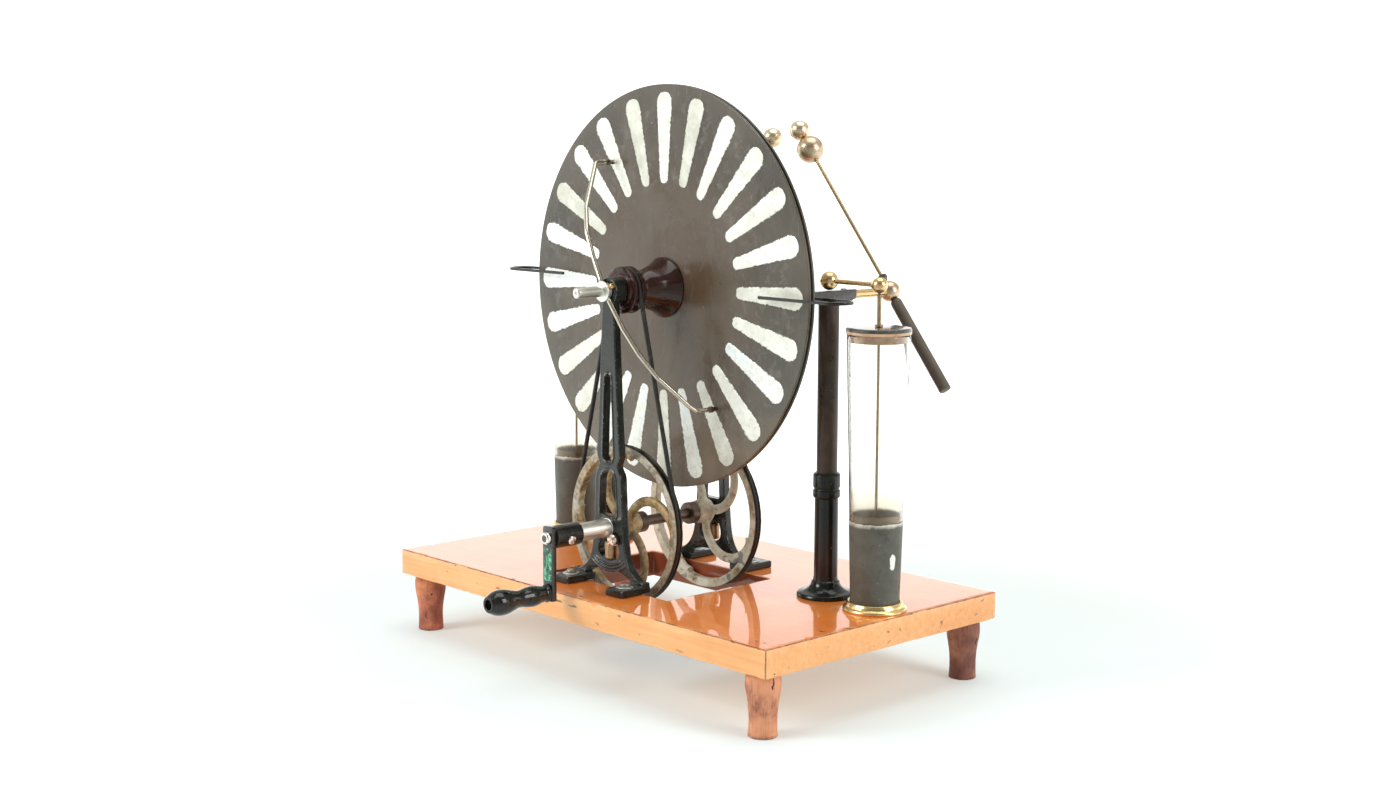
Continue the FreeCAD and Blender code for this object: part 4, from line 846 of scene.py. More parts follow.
def mat_foil():
    """Painted-on silver foil: pale, matt in places, dirty at its edges."""
    M = Mat("sector_foil", rough=0.42, spec=0.5)
    across = M.attr("across")
    tone = M.attr("tone")
    n1 = M.noise(48, 4, 0.6, 0.5)
    n2 = M.noise(420, 3, 0.65)
    n3 = M.noise(160, 4, 0.65, 0.5)
    # the palest, bluish stop of this ramp is a painted reflection, a bluish sheen on some foils
    col = M.ramp(M.add(M.mul(n1, 0.6), M.mul(tone, 0.4)),
                 [(0.25, (0.58, 0.58, 0.50)), (0.45, (0.76, 0.77, 0.69)), (0.62, (0.86, 0.88, 0.81)), (0.8, (0.78, 0.85, 0.90))])
    haze = M.rng(n3, 0.5, 0.7, 0, 0.35)
    col = M.mix(haze, col, (0.40, 0.39, 0.33))
    rag = M.add(M.mul(M.sub(n2, 0.5), 0.55), M.mul(M.sub(n3, 0.5), 0.75))
    lip = M.rng(M.add(across, rag), 0.80, 0.90)
    col = M.mix(M.mul(lip, 0.9), col, (0.085, 0.080, 0.066))
    speck = M.rng(M.noise(700, 2), 0.68, 0.72)
    col = M.mix(M.mul(speck, 0.55), col, (0.14, 0.13, 0.11))
    M.put(color=col, metal=M.rng(n1, 0.35, 0.65, 0.15, 0.55), rough=M.rng(M.add(M.mul(n1, 0.5), M.mul(n3, 0.5)), 0.35, 0.65, 0.30, 0.55))
    M.put(normal=M.bump(M.add(M.mul(n3, 1.0), M.mul(n2, 0.6)), 0.00016, 0.6))
    return M.m


def mat_oxblood():
    M = Mat("oxblood_boss", rough=0.14, spec=0.34, coat=0.10, coat_rough=0.03)
    n1 = M.noise(40, 4, 0.6, 0.4)
    n2 = M.noise(300, 3, 0.6)
    v = M.at(0, -28.5, 328)
    x, y, z = M.xyz(v)
    ay = M.op("ABSOLUTE", y)
    dark = M.rng(ay, 0.030, 0.052)
    red = M.ramp(n1, [(0.3, (0.020, 0.0060, 0.0034)), (0.5, (0.036, 0.0100, 0.0052)), (0.72, (0.062, 0.0170, 0.0090))])
    col = M.mix(M.mul(dark, 0.55), red, (0.030, 0.012, 0.010))
    col = M.mix(M.mul(M.rng(n2, 0.68, 0.74), 0.5), col, (0.30, 0.20, 0.15))
    paler_patch = M.mul(M.rng(M.noise(85, 4, 0.65), 0.56, 0.66), M.rng(ay, 0.052, 0.056))
    col = M.mix(M.mul(paler_patch, 0.22), col, (0.33, 0.09, 0.05))
    M.put(color=col, rough=M.rng(n1, 0.3, 0.7, 0.09, 0.17))
    M.put(normal=M.bump(M.add(M.mul(n2, 0.2), M.mul(n1, 0.3)), 0.00003, 0.4))
    return M.m


def mat_leather():
    M = Mat("belt_leather", rough=0.55, spec=0.35)
    n1 = M.noise(120, 4, 0.65)
    n2 = M.noise(700, 3, 0.6)
    tw = M.noise(30, 2, 0.5, 0.2, vec=M.stretch((30, 30, 9)))
    col = M.ramp(M.add(M.mul(n1, 0.6), M.mul(tw, 0.4)), [(0.32, (0.006, 0.006, 0.006)), (0.55, (0.022, 0.021, 0.019)), (0.75, (0.085, 0.080, 0.070))])
    M.put(color=col, rough=M.rng(n1, 0.3, 0.7, 0.42, 0.68))
    M.put(normal=M.bump(M.add(M.mul(n2, 0.7), M.mul(tw, 1.2)), 0.0003, 0.7))
    return M.m


def mat_glass(x, y, name):
    """Clear blown glass, a little yellow, hazed just above the foil."""
    M = Mat(name, trans=1.0, ior=1.47, rough=0.02, spec=0.5)
    px, py, pz = M.xyz()
    zb = M.sub(pz, 0.097)
    n1 = M.noise(26, 3, 0.6, 0.3)
    n2 = M.noise(240, 3, 0.6)
    tint = M.ramp(M.rng(zb, 0.09, 0.30), [(0.0, (0.88, 0.82, 0.72)), (0.22, (0.955, 0.935, 0.89)), (0.6, (0.985, 0.98, 0.96)), (1.0, (0.98, 0.965, 0.93))])
    col = M.mix(M.rng(n2, 0.66, 0.74, 0, 0.35), tint, (0.70, 0.60, 0.45))
    haze = M.mul(M.rng(zb, 0.112, 0.150, 1, 0), M.rng(n1, 0.3, 0.7, 0.4, 1.0))
    lw = M.node("ShaderNodeLayerWeight")
    lw.inputs["Blend"].default_value = 0.5
    col = M.mix(M.rng(lw.outputs["Facing"], 0.66, 0.97, 0, 0.92), col, (0.24, 0.235, 0.20), "MULTIPLY")
    M.put(color=col)
    M.put(rough=M.add(0.015, M.mul(haze, 0.22)))
    M.put(normal=M.bump(n1, 0.0003, 0.25))
    return M.m


def mat_jarfoil(name, inner=False):
    M = Mat(name, rough=0.5, spec=0.4)
    n1 = M.noise(30, 4, 0.6, 0.4)
    n2 = M.noise(330, 3, 0.65)
    n3 = M.noise(110, 4, 0.65, 0.4)
    px, py, pz = M.xyz()
    zb = M.sub(pz, 0.097)
    if inner:
        col = M.ramp(n1, [(0.3, (0.17, 0.14, 0.105)), (0.6, (0.36, 0.30, 0.22))])
        M.put(color=col, metal=M.rng(n1, 0.3, 0.7, 0.1, 0.4), rough=M.rng(n3, 0.3, 0.7, 0.4, 0.6))
        return M.m
    col = M.ramp(n1, [(0.3, (0.082, 0.080, 0.064)), (0.52, (0.104, 0.104, 0.086)), (0.72, (0.128, 0.128, 0.106))])
    col = M.mix(M.mul(M.rng(n3, 0.58, 0.68), 0.35), col, (0.055, 0.040, 0.032))
    rust = M.mul(M.rng(M.noise(60, 3, 0.6), 0.60, 0.68), M.rng(zb, 0.0, 0.05, 1, 0))
    col = M.mix(M.mul(rust, 0.6), col, (0.12, 0.055, 0.045))
    # silver showing through along the torn upper edge
    up = M.rng(M.add(zb, M.mul(M.sub(n3, 0.5), 0.008)), 0.0915, 0.0955)
    col = M.mix(up, col, (0.66, 0.64, 0.56))
    low = M.rng(M.add(zb, M.mul(M.sub(n3, 0.5), 0.010)), 0.002, 0.010, 1, 0)
    col = M.mix(M.mul(low, 0.35), col, (0.50, 0.46, 0.36))
    speck = M.rng(n2, 0.69, 0.72)
    col = M.mix(M.mul(speck, 0.6), col, (0.45, 0.43, 0.37))
    chip = M.length(M.stretch((1.0, 1.0, 0.52), vec=M.at(299.4, 18.6, 54.9)))
    chip = M.rng(M.add(chip, M.mul(M.sub(n3, 0.5), 0.0060)), 0.0038, 0.0043, 1, 0)
    col = M.mix(chip, col, (0.86, 0.86, 0.82))
    M.put(color=col, metal=M.add(0.25, M.mul(up, 0.4)), rough=M.rng(n3, 0.3, 0.7, 0.36, 0.55))
    M.put(normal=M.bump(M.add(M.mul(n3, 0.8), M.mul(n2, 0.4)), 0.00025, 0.6))
    return M.m


def mat_lid():
    M = Mat("jar_lid", rough=0.42, spec=0.45, coat=0.9, coat_rough=0.10)
    grain = M.noise(5, 4, 0.6, 0.5, vec=M.stretch((6, 70, 70)))
    n2 = M.noise(220, 3, 0.6)
    px, py, pz = M.xyz()
    zb = M.sub(pz, 0.097)
    top = M.ramp(grain, [(0.35, (0.016, 0.014, 0.011)), (0.65, (0.060, 0.052, 0.042))])
    tan = M.ramp(M.noise(60, 4, 0.6), [(0.3, (0.42, 0.22, 0.11)), (0.7, (0.68, 0.44, 0.26))])
    col = M.mix(M.rng(zb, 0.2958, 0.2964), tan, top)
    col = M.mix(M.mul(M.rng(n2, 0.66, 0.72), 0.5), col, (0.25, 0.17, 0.11))
    M.put(color=col, rough=M.rng(grain, 0.3, 0.7, 0.35, 0.55))
    M.put(normal=M.bump(M.add(grain, M.mul(n2, 0.5)), 0.0002, 0.5))
    return M.m


def mat_socket():
    """Glossy black column socket, with red-brown streaks on its neck painted as a reflection of the red board."""
    M = Mat("column_socket", rough=0.14, spec=0.30, coat=0.08, coat_rough=0.04)
    n1 = M.noise(30, 4, 0.6, 0.4, vec=M.stretch((1, 1, 0.4)))
    n2 = M.noise(260, 3, 0.6)
    px, py, pz = M.xyz()
    zb = M.sub(pz, 0.097)
    # painted reflection: red-brown streaks on the neck, 14 to 85 mm up, stand in for the red board reflected in the
    # glossy black
    mid = M.mul(M.rng(zb, 0.014, 0.024), M.rng(zb, 0.040, 0.085, 1, 0))
    red = M.mul(M.rng(n1, 0.34, 0.62), mid)
    col = M.mix(M.mul(red, 0.8), (0.0065, 0.0085, 0.0065), (0.050, 0.013, 0.007))
    col = M.mix(M.mul(M.rng(M.noise(85, 4, 0.7), 0.66, 0.70), 0.7), col, (0.23, 0.21, 0.19))
    col = M.mix(M.mul(M.rng(n2, 0.70, 0.74), 0.5), col, (0.20, 0.18, 0.16))
    M.put(color=col, rough=M.rng(n1, 0.3, 0.7, 0.10, 0.26))
    M.put(normal=M.bump(M.add(M.mul(n2, 0.3), n1), 0.00015, 0.5))
    return M.m


def mat_arm():
    """Crank arm: black enamel with a marbled green panel on its face."""
    M = Mat("crank_arm_enamel", rough=0.22, spec=0.5, coat=0.5, coat_rough=0.06)
    px, py, pz = M.xyz()
    zb = M.mul(M.sub(pz, 0.097), 1000.0)
    xb = M.mul(px, 1000.0)
    n1 = M.noise(130, 4, 0.6)
    front = M.rng(py, -0.1496, -0.1493, 1, 0)
    panel = M.mul(M.mul(M.rng(zb, 18.0, 19.2), M.rng(zb, 53.6, 54.8, 1, 0)), M.mul(M.rng(xb, -6.6, -6.0), M.rng(xb, 6.0, 6.6, 1, 0)))
    panel = M.mul(panel, front)
    swirl = M.noise(72, 3, 0.5, 2.6, vec=M.stretch((1.0, 1.0, 0.7)))
    swirl2 = M.noise(115, 3, 0.5, 1.8, vec=M.stretch((1.0, 1.0, 0.8), loc=(3, 1, 2)))
    green = M.ramp(swirl, [(0.36, (0.003, 0.016, 0.010)), (0.43, (0.008, 0.110, 0.052)), (0.50, (0.030, 0.36, 0.17)), (0.56, (0.24, 0.72, 0.45)), (0.62, (0.014, 0.17, 0.080)), (0.70, (0.004, 0.03, 0.016))])
    green = M.mix(M.rng(swirl2, 0.60, 0.65), green, (0.004, 0.012, 0.008))
    black = M.mix(M.rng(n1, 0.35, 0.7), (0.008, 0.008, 0.009), (0.024, 0.024, 0.026))
    worn = M.rng(M.add(M.mul(M.rng(M.attr("edge"), 0.15, 0.6), 0.45), M.mul(n1, 0.6)), 0.70, 0.76)
    col = M.mix(panel, black, green)
    col = M.mix(worn, col, (0.30, 0.28, 0.25))
    M.put(color=col, rough=M.rng(n1, 0.3, 0.7, 0.16, 0.3))
    M.put(normal=M.bump(M.add(n1, M.mul(worn, -0.7)), 0.00015, 0.5))
    return M.m


def mat_tinsel():
    M = Mat("brush_tinsel", metal=1.0, rough=0.45)
    n1 = M.noise(240, 3, 0.6)
    M.put(color=M.ramp(n1, [(0.3, (0.06, 0.035, 0.02)), (0.6, (0.25, 0.16, 0.09)), (0.8, (0.45, 0.33, 0.2))]), rough=M.rng(n1, 0.3, 0.7, 0.35, 0.6))
    return M.m


MB = mat_board()
MF = mat_foot()
ME = mat_enamel()
MEB = mat_enamel("black_lacquer", chips=-0.4, tone=(0.007, 0.007, 0.0065))
MWF = mat_wheel("front_wheel_paint", True)
MWR = mat_wheel("rear_wheel_paint", False)
MN = mat_nickel("dull_nickel", tone=(0.93, 0.94, 0.87), stain=0.06, rough=(0.34, 0.42), speck=0.12)
MSP = mat_nickel("spindle_nickel", tone=(0.70, 0.71, 0.655), stain=0.10, rough=(0.30, 0.38), speck=0.15)
MNP = mat_nickel("pinkish_nickel", tone=(0.86, 0.74, 0.66), stain=0.3, rough=(0.18, 0.32))
MNR = mat_nickel("neutralizer_nickel", tone=(0.60, 0.55, 0.455), stain=0.35, rough=(0.20, 0.30), speck=0.4)
MS = mat_nickel("browned_steel", tone=(0.16, 0.125, 0.10), stain=0.8, rough=(0.32, 0.5))
MSC = mat_nickel("oxidised_screw", tone=(0.40, 0.37, 0.33), stain=0.7, rough=(0.35, 0.55))
MSB = mat_nickel("bright_screw", tone=(0.93, 0.92, 0.88), stain=0.10, rough=(0.16, 0.28))
MW = mat_nickel("worn_washer", tone=(0.56, 0.60, 0.60), stain=0.25, rough=(0.4, 0.55))
MBR = mat_brass("aged_brass", tone=(0.80, 0.69, 0.48), rough=(0.26, 0.34), dark=0.20, pink=0.10)
MBB = mat_brass("dull_brass", tone=(0.62, 0.52, 0.36), rough=(0.28, 0.36), dark=0.22, pink=0.15)
MRG = mat_brass("ring_brass", tone=(0.88, 0.67, 0.30), rough=(0.20, 0.30), dark=0.35, pink=0.1)
MPB = mat_brass("pillar_bronze", tone=(0.46, 0.33, 0.19), rough=(0.28, 0.40), dark=0.5, pink=0.2)
MST = mat_brass("stem_brass", tone=(0.58, 0.455, 0.25), rough=(0.22, 0.30), dark=0.4, pink=0.0)
MJR = mat_brass("jar_rod_brass", tone=(0.40, 0.31, 0.19), rough=(0.30, 0.46), dark=0.6, pink=0.1)
MBL = mat_brass("link_brass", tone=(0.80, 0.60, 0.31), rough=(0.18, 0.32), dark=0.45, pink=0.15)
MBY = mat_brass("bright_brass", tone=(0.86, 0.62, 0.29), rough=(0.14, 0.28), dark=0.25, pink=0.1)
MD = mat_disc("plate_ebonite")
MSF = mat_foil()
MOX = mat_oxblood()
ML = mat_leather()
MCR = mat_ebonite("column_rod", (0.034, 0.022, 0.013), (0.070, 0.042, 0.025), rough=(0.26, 0.40), coat=0.0, dust=0.2, spec=0.34)
MHR = mat_ebonite("handle_rod", (0.088, 0.068, 0.052), (0.130, 0.104, 0.082), rough=(0.34, 0.48), coat=0.0, dust=0.25, spec=0.4)
MHB = mat_ebonite("crank_handle_black", (0.005, 0.005, 0.0045), (0.010, 0.010, 0.009), rough=(0.06, 0.12), coat=0.3, dust=0.08, spec=0.32)
MBK = mat_ebonite("bar_black", (0.010, 0.009, 0.008), (0.022, 0.019, 0.016), rough=(0.18, 0.32), coat=0.4, dust=0.3)
MCS = mat_socket()
MAR = mat_arm()
MT = mat_tinsel()
MLID = mat_lid()
MJO = mat_jarfoil("jar_outer_foil")
MJI = mat_jarfoil("jar_inner_foil", inner=True)

# ===========================================================================
# Board and feet
# ===========================================================================


def build_board():
    hx, hy = 311.0, 179.0
    wx, wf, wb = 98.0, -116.0, 39.0
    xs = [-hx, -wx, wx, hx]
    ys = [-hy, wf, wb, hy]
    zs = [-30.0, 0.0]
    verts, idx = [], {}
    for k, z in enumerate(zs):
        for j, y in enumerate(ys):
            for i, x in enumerate(xs):
                idx[i, j, k] = len(verts)
                verts.append(P(x, y, z))
    faces = []
    for j in range(3):
        for i in range(3):
            if i == 1 and j == 1:
                continue
            for k in (0, 1):
                faces.append((idx[i, j, k], idx[i + 1, j, k], idx[i + 1, j + 1, k], idx[i, j + 1, k]))
    for i in range(3):
        faces.append((idx[i, 0, 0], idx[i + 1, 0, 0], idx[i + 1, 0, 1], idx[i, 0, 1]))
        faces.append((idx[i, 3, 0], idx[i + 1, 3, 0], idx[i + 1, 3, 1], idx[i, 3, 1]))
    for j in range(3):
        faces.append((idx[0, j, 0], idx[0, j + 1, 0], idx[0, j + 1, 1], idx[0, j, 1]))
        faces.append((idx[3, j, 0], idx[3, j + 1, 0], idx[3, j + 1, 1], idx[3, j, 1]))
    faces.append((idx[1, 1, 0], idx[2, 1, 0], idx[2, 1, 1], idx[1, 1, 1]))
    faces.append((idx[1, 2, 0], idx[2, 2, 0], idx[2, 2, 1], idx[1, 2, 1]))
    faces.append((idx[1, 1, 0], idx[1, 2, 0], idx[1, 2, 1], idx[1, 1, 1]))
    faces.append((idx[2, 1, 0], idx[2, 2, 0], idx[2, 2, 1], idx[2, 1, 1]))
    ob = new_object("varnished_board", verts, faces, MB)
    bm = bmesh.new()
    bm.from_mesh(ob.data)
    bmesh.ops.recalc_face_normals(bm, faces=bm.faces)
    sharp = [e for e in bm.edges if len(e.link_faces) == 2 and e.calc_face_angle(0) > 0.5]
    bmesh.ops.bevel(bm, geom=sharp, offset=0.0011, segments=3, affect="EDGES", profile=0.5)
    # short edges along the arrises, so that they can be knocked about
    long = [e for e in bm.edges if e.calc_length() > 0.05]
    bmesh.ops.subdivide_edges(bm, edges=long, cuts=47, use_grid_fill=True)
    for v in bm.verts:
        x, y, z = v.co.x * 1000, v.co.y * 1000 - YC, v.co.z * 1000 - ZT
        near = sorted((abs(hx - abs(x)), abs(hy - abs(y)), abs(z), abs(z + 30)))[1]
        inner = abs(x) < 100 and wf - 2 < y < wb + 2
        if near < 1.6 and not inner:
            p = Vector((x, y, z))
            k = max(0.0, noise.noise(p * 0.055) * 0.55 + noise.noise(p * 0.21) * 0.45 - 0.12)
            pull = Vector((-math.copysign(1, x) if abs(hx - abs(x)) < 1.6 else 0,
                           -math.copysign(1, y) if abs(hy - abs(y)) < 1.6 else 0,
                           -1 if abs(z) < 1.6 else (1 if abs(z + 30) < 1.6 else 0)))
            v.co += pull * k * 0.0016
    for f in bm.faces:
        f.smooth = True
    for e in bm.edges:
        e.smooth = not (len(e.link_faces) == 2 and e.calc_face_angle(0.0) > math.radians(40))
    bm.to_mesh(ob.data)
    bm.free()
    return put(ob, "base", "baseboard", slot="varnished_wood")


build_board()

foot_prof = [(0, 0)] + rounded([(14.0, 0.0), (15.1, 0.5), (14.9, 3.0)], 0.8) + flow([
    (14.7, 6), (14.4, 14), (14.5, 22), (15.3, 31), (16.6, 40), (17.9, 48), (18.35, 54), (18.2, 60), (17.2, 65.0)], 5) + [(16.9, 66.9), (0, 66.9)]
feet = []
for i, (sx, sy) in enumerate(((-1, -1), (1, -1), (1, 1), (-1, 1))):
    f = lathe("foot_%d" % i, [(r, h - 97.0) for r, h in foot_prof], (sx * 285.0, sy * 156.0, 0), (0, 0, 1), MF, 64, wob=0.35, seed=i * 7.3)
    feet.append(f)
put(join("turned_feet", feet), "base", "feet", slot="foot_wood")

# ===========================================================================
# Cast frames
# ===========================================================================


def box_obj(name, x0, x1, y0, y1, z0, z1, mat=None, bevel=0.0, taper=0.0):
    v = [P(x, y, z) for z in (z0, z1) for y in (y0, y1) for x in (x0, x1)]
    f = [(0, 1, 3, 2), (4, 5, 7, 6), (0, 1, 5, 4), (2, 3, 7, 6), (0, 2, 6, 4), (1, 3, 7, 5)]
    ob = new_object(name, v, f, mat)
    bm = bmesh.new()
    bm.from_mesh(ob.data)
    bmesh.ops.recalc_face_normals(bm, faces=bm.faces)
    if bevel:
        bmesh.ops.bevel(bm, geom=list(bm.edges), offset=bevel / 1000, segments=3, affect="EDGES", profile=0.6)
    for fc in bm.faces:
        fc.smooth = True
    for e in bm.edges:
        e.smooth = not (len(e.link_faces) == 2 and e.calc_face_angle(0.0) > math.radians(50))
    bm.to_mesh(ob.data)
    bm.free()
    return ob


def arcpts(x0, y0, x1, y1, r, side, n=12):
    """Arc from one point to the other, bulging to the left (+1) or right."""
    a, b = Vector((x0, y0)), Vector((x1, y1))
    c = b - a
    nrm = Vector((-c.y, c.x)).normalized() * side
    ctr = (a + b) / 2 - nrm * math.sqrt(max(r * r - c.length_squared / 4, 0))
    ta, tb = math.atan2(*(a - ctr).yx), math.atan2(*(b - ctr).yx)
    if side > 0 and tb > ta:
        tb -= 2 * math.pi
    if side < 0 and tb < ta:
        tb += 2 * math.pi
    return [(ctr.x + r * math.cos(ta + (tb - ta) * k / n), ctr.y + r * math.sin(ta + (tb - ta) * k / n)) for k in range(n + 1)]


def slot_loops(grow):
    g = grow
    mid = [(13.7 + g, 92)] + list(rounded([(13.7 + g, 92), (14.4 + g, 79.2 - g, 3.4), (-14.4 - g, 79.2 - g, 3.4), (-13.7 - g, 92)], 3.4))[1:-1] + [(-13.7 - g, 92)] + arcpts(-12.1 - g, 119.5, 12.1 + g, 119.5, 12.2 + g, 1)
    top = arcpts(-8.8 - g, 146, 8.8 + g, 146, 8.9 + g, -1) + arcpts(4.9 + g, 233, -4.9 - g, 233, 5.0 + g, -1)
    return mid, top


def frame_web():
    outer = flow([(58, 7.0), (50, 12), (38, 20.5), (30, 33), (26.5, 48)], 6) + flow([(26.5, 48), (23.5, 80), (22.2, 108), (21.7, 119), (20.4, 126), (16.8, 131.4), (15.4, 134.8), (16.2, 138.4), (18.6, 143.6), (19.2, 150), (16.6, 184), (13.8, 231), (9.8, 306), (9.4, 317)], 5)[1:]
    inner = flow([(41, 7.0), (32, 12.8), (18, 17.2), (0, 18.6)], 6)
    pts = [(x, z) for x, z in outer] + [(-x, z) for x, z in reversed(outer)] + [(-x, z) for x, z in inner] + [(x, z) for x, z in reversed(inner[:-1])]
    low = flow([(14.0, 50.5), (15.5, 47), (17, 39), (14.5, 33), (8, 29.5), (0, 28.4), (-8, 29.5), (-14.5, 33), (-17, 39), (-15.5, 47), (-14.0, 50.5)], 5)
    mid, top = slot_loops(0.0)
    hole = circle(0, 65.5, 7.7, 40)
    return [pts, low, mid, top, hole]


def cast_frame(name, face, out, node):
    """face: y of the inner face of the web; out: -1 crank side, +1 far side."""

    def to(x, y, z):
        return P(x, face + out * z, y)
    web = plate(name + "_web", frame_web(), 9.5, 0.9, ME, to)
    parts = [web]
    # bead round the front of each leg, left standing by the mould
    for s in (-1, 1):
        y0, y1 = sorted((face, face + out * 42.0))
        parts.append(box_obj(name + "_pad", *sorted((s * 32.5, s * 60.0)), y0, y1, 0.05, 8.0, bevel=1.2))
        # toe that runs down from the leg on to the pad
        ya, yb_ = sorted((face, face + out * 12.0))
        parts.append(box_obj(name + "_toe", *sorted((s * 38.0, s * 59.0)), ya, yb_, 4.0, 12.0, bevel=1.2))
    d = (0, out, 0)
    parts.append(lathe(name + "_boss", rounded([(7.7, 0.2), (13.0, 0.2), (13.0, 11.0), (7.7, 11.0)], 1.0) + [(7.7, 11.0)], (0, face, 65.5), d, ME, 56, loop=True))
    e0, e1 = (-7.0, 9.5) if out < 0 else (0.0, 18.4)
    if out > 0:
        e0, e1 = 0.0, 12.0
    parts.append(lathe(name + "_eye", rounded([(6.3, e0), (14.5, e0), (14.5, e1), (6.3, e1)], 1.1) + [(6.3, e1)], (0, face, 328), d, ME, 56, loop=True))
    # curved ridges across the stretcher
    yf = face + out * 9.6
    for k in range(3):
        z0 = 23.8 - 3.6 * k
        hw = 22.0 + 3.5 * k
        pts = [(x, yf + out * 0.2, z0 + 7.0 * (x / 22.0) ** 2 * (1 - 0.12 * k)) for x in np.linspace(-hw, hw, 25)]
        parts.append(tube(name + "_ridge", pts, [1.35 * (1 - 0.6 * abs(2 * i / 24 - 1) ** 4) for i in range(25)], ME, 10))
    # raised rims round the two upper slots
    for loop in slot_loops(1.0):
        pts = [(x, face + out * 9.3, z) for x, z in loop + loop[:1]]
        parts.append(tube(name + "_rim", pts, 1.25, ME, 10))
    ob = cast(name, parts, ME, 0.65, 2, rough=0.12)
    return put(ob, "base", node, slot="black_iron")


cast_frame("front_frame_casting", -106.0, -1, "front_frame")
cast_frame("rear_frame_casting", 40.0, 1, "rear_frame")


def slotted(name, prof, at, direction, mat, slot_w, slot_d, top, turn=0.0, segs=48):
    """Lathe-turned screw head with a slot milled across its crown."""
    ob = lathe(name, prof, at, direction, mat, segs)
    cutter = box_obj(name + "_cut", 0, 1, 0, 1, 0, 1)
    d = Vector(direction).normalized()
    q = Vector((0, 0, 1)).rotation_difference(d)
    big = max(r for r, h in prof) * 2.4
    o = P(*at)
    vs = []
    for v in cutter.data.vertices:
        i = v.index
        x = (-big / 2, big / 2)[i & 1]
        y = (-slot_w / 2, slot_w / 2)[(i >> 1) & 1]
        z = (top - slot_d, top + 6)[(i >> 2) & 1]
        w = Vector((x * math.cos(turn) - y * math.sin(turn), x * math.sin(turn) + y * math.cos(turn), z)) / 1000
        vs.append(o + q @ w)
    me = bpy.data.meshes.new(name + "_cutm")
    me.from_pydata([tuple(v) for v in vs], [], [(0, 1, 3, 2), (4, 5, 7, 6), (0, 1, 5, 4), (2, 3, 7, 6), (0, 2, 6, 4), (1, 3, 7, 5)])
    cutter.data = me
    tidy(cutter)
    md = ob.modifiers.new("slot", "BOOLEAN")
    md.operation = "DIFFERENCE"
    md.object = cutter
    md.solver = "EXACT"
    bpy.context.view_layer.update()
    apply_modifiers(ob)
    bpy.data.objects.remove(cutter)
    return tidy(ob, recalc=False)


heads = []
for i, (sx, yy) in enumerate(((-1, -131.0), (1, -131.0), (-1, 62.0), (1, 62.0))):
    at = (sx * 46.0, yy, 0)
    heads.append(lathe("washer_%d" % i, rounded([(2.2, 8.05), (9.2, 8.05), (9.6, 8.5), (9.0, 9.3), (6.0, 9.6), (2.2, 9.6)], 0.4) + [(2.2, 9.6)], at, (0, 0, 1), MW, 56, loop=True, wob=0.35, seed=i))
    heads.append(slotted("pad_screw_%d" % i, [(0, 5.0), (2.0, 5.0), (2.0, 9.65)] + rounded([(2.0, 9.65), (5.4, 9.65), (5.5, 10.4)], 0.3) + flow([(5.5, 10.6), (5.0, 12.2), (3.6, 13.2), (0, 13.7)], 4),
                         at, (0, 0, 1), MSC, 1.1, 1.3, 13.7, turn=0.6 + i * 0.9))
put(join("pad_screws", heads), "base", "frame_screws", slot="dull_screw")

# ===========================================================================
# Spindle, bushes, bearing pillars, clamp screws
# ===========================================================================
spin = lathe("spindle_bar", [(0, -158.9), (1.0, -158.9)] + rounded([(1.0, -158.9), (1.6, -160.4), (4.6, -160.4), (6.0, -159.2), (6.0, -152.0)], 0.5)
             + rounded([(6.0, -136.0), (6.0, -127.0), (6.0, 60.0), (6.0, 102.0), (4.9, 103.5)], 0.5) + [(0, 103.5)],
             (0, 0, 328), (0, 1, 0), MSP, 64)
put(spin, "base", "spindle", slot="nickel")

bf = lathe("front_crank_sleeve", rounded([(6.06, -159.5), (9.3, -159.5), (10.0, -158.6), (10.0, -118.0), (10.6, -117.9), (10.6, -117.25), (7.5, -117.25), (7.5, -105.0), (6.06, -105.0)], 0.25) + [(6.06, -105.0)],
           (0, 0, 65.5), (0, 1, 0), MN, 72, loop=True)
brr = lathe("rear_crank_bush", rounded([(6.06, 39.4), (7.5, 39.4), (7.5, 51.2), (9.5, 51.3), (9.5, 54.0), (6.06, 54.0)], 0.3) + [(6.06, 54.0)],
            (0, 0, 65.5), (0, 1, 0), MN, 56, loop=True)
put(join("crank_sleeves", [bf, brr]), "base", "axle_bushes", slot="nickel")

pil = []
for i, yy in enumerate((-110.75, 44.75)):
    pil.append(lathe("pillar_%d" % i, [(0, 28.6)] + rounded([(0.01, 28.6), (2.0, 28.6), (2.0, 30.5), (6.6, 30.5), (7.3, 31.3), (7.3, 46.0), (6.4, 48.4), (3.2, 49.5), (3.2, 50.9)], 0.6) + [(0, 50.9)],
                     (0, yy, 0), (0, 0, 1), MPB, 48))
put(join("bearing_supports", pil), "base", "bearing_pillars", slot="brass")

cl = []
for i, (yy, sgn) in enumerate(((-115.5, -1), (49.5, 1))):
    cl.append(slotted("clamp_%d" % i, [(0, -6), (2.0, -6), (2.0, 0.05)] + rounded([(2.0, 0.05), (3.3, 0.05), (3.3, 1.6), (6.4, 1.6), (6.7, 2.6), (6.8, 5.4), (6.0, 7.0), (3.6, 8.1)], 0.5) + [(0, 8.4)],
                      (12.2, yy, 53.5), (0, sgn, 0), MNP, 1.4, 2.2, 8.4, turn=0.75))
put(join("bearing_clamps", cl), "base", "bearing_clamp_screws", slot="nickel")

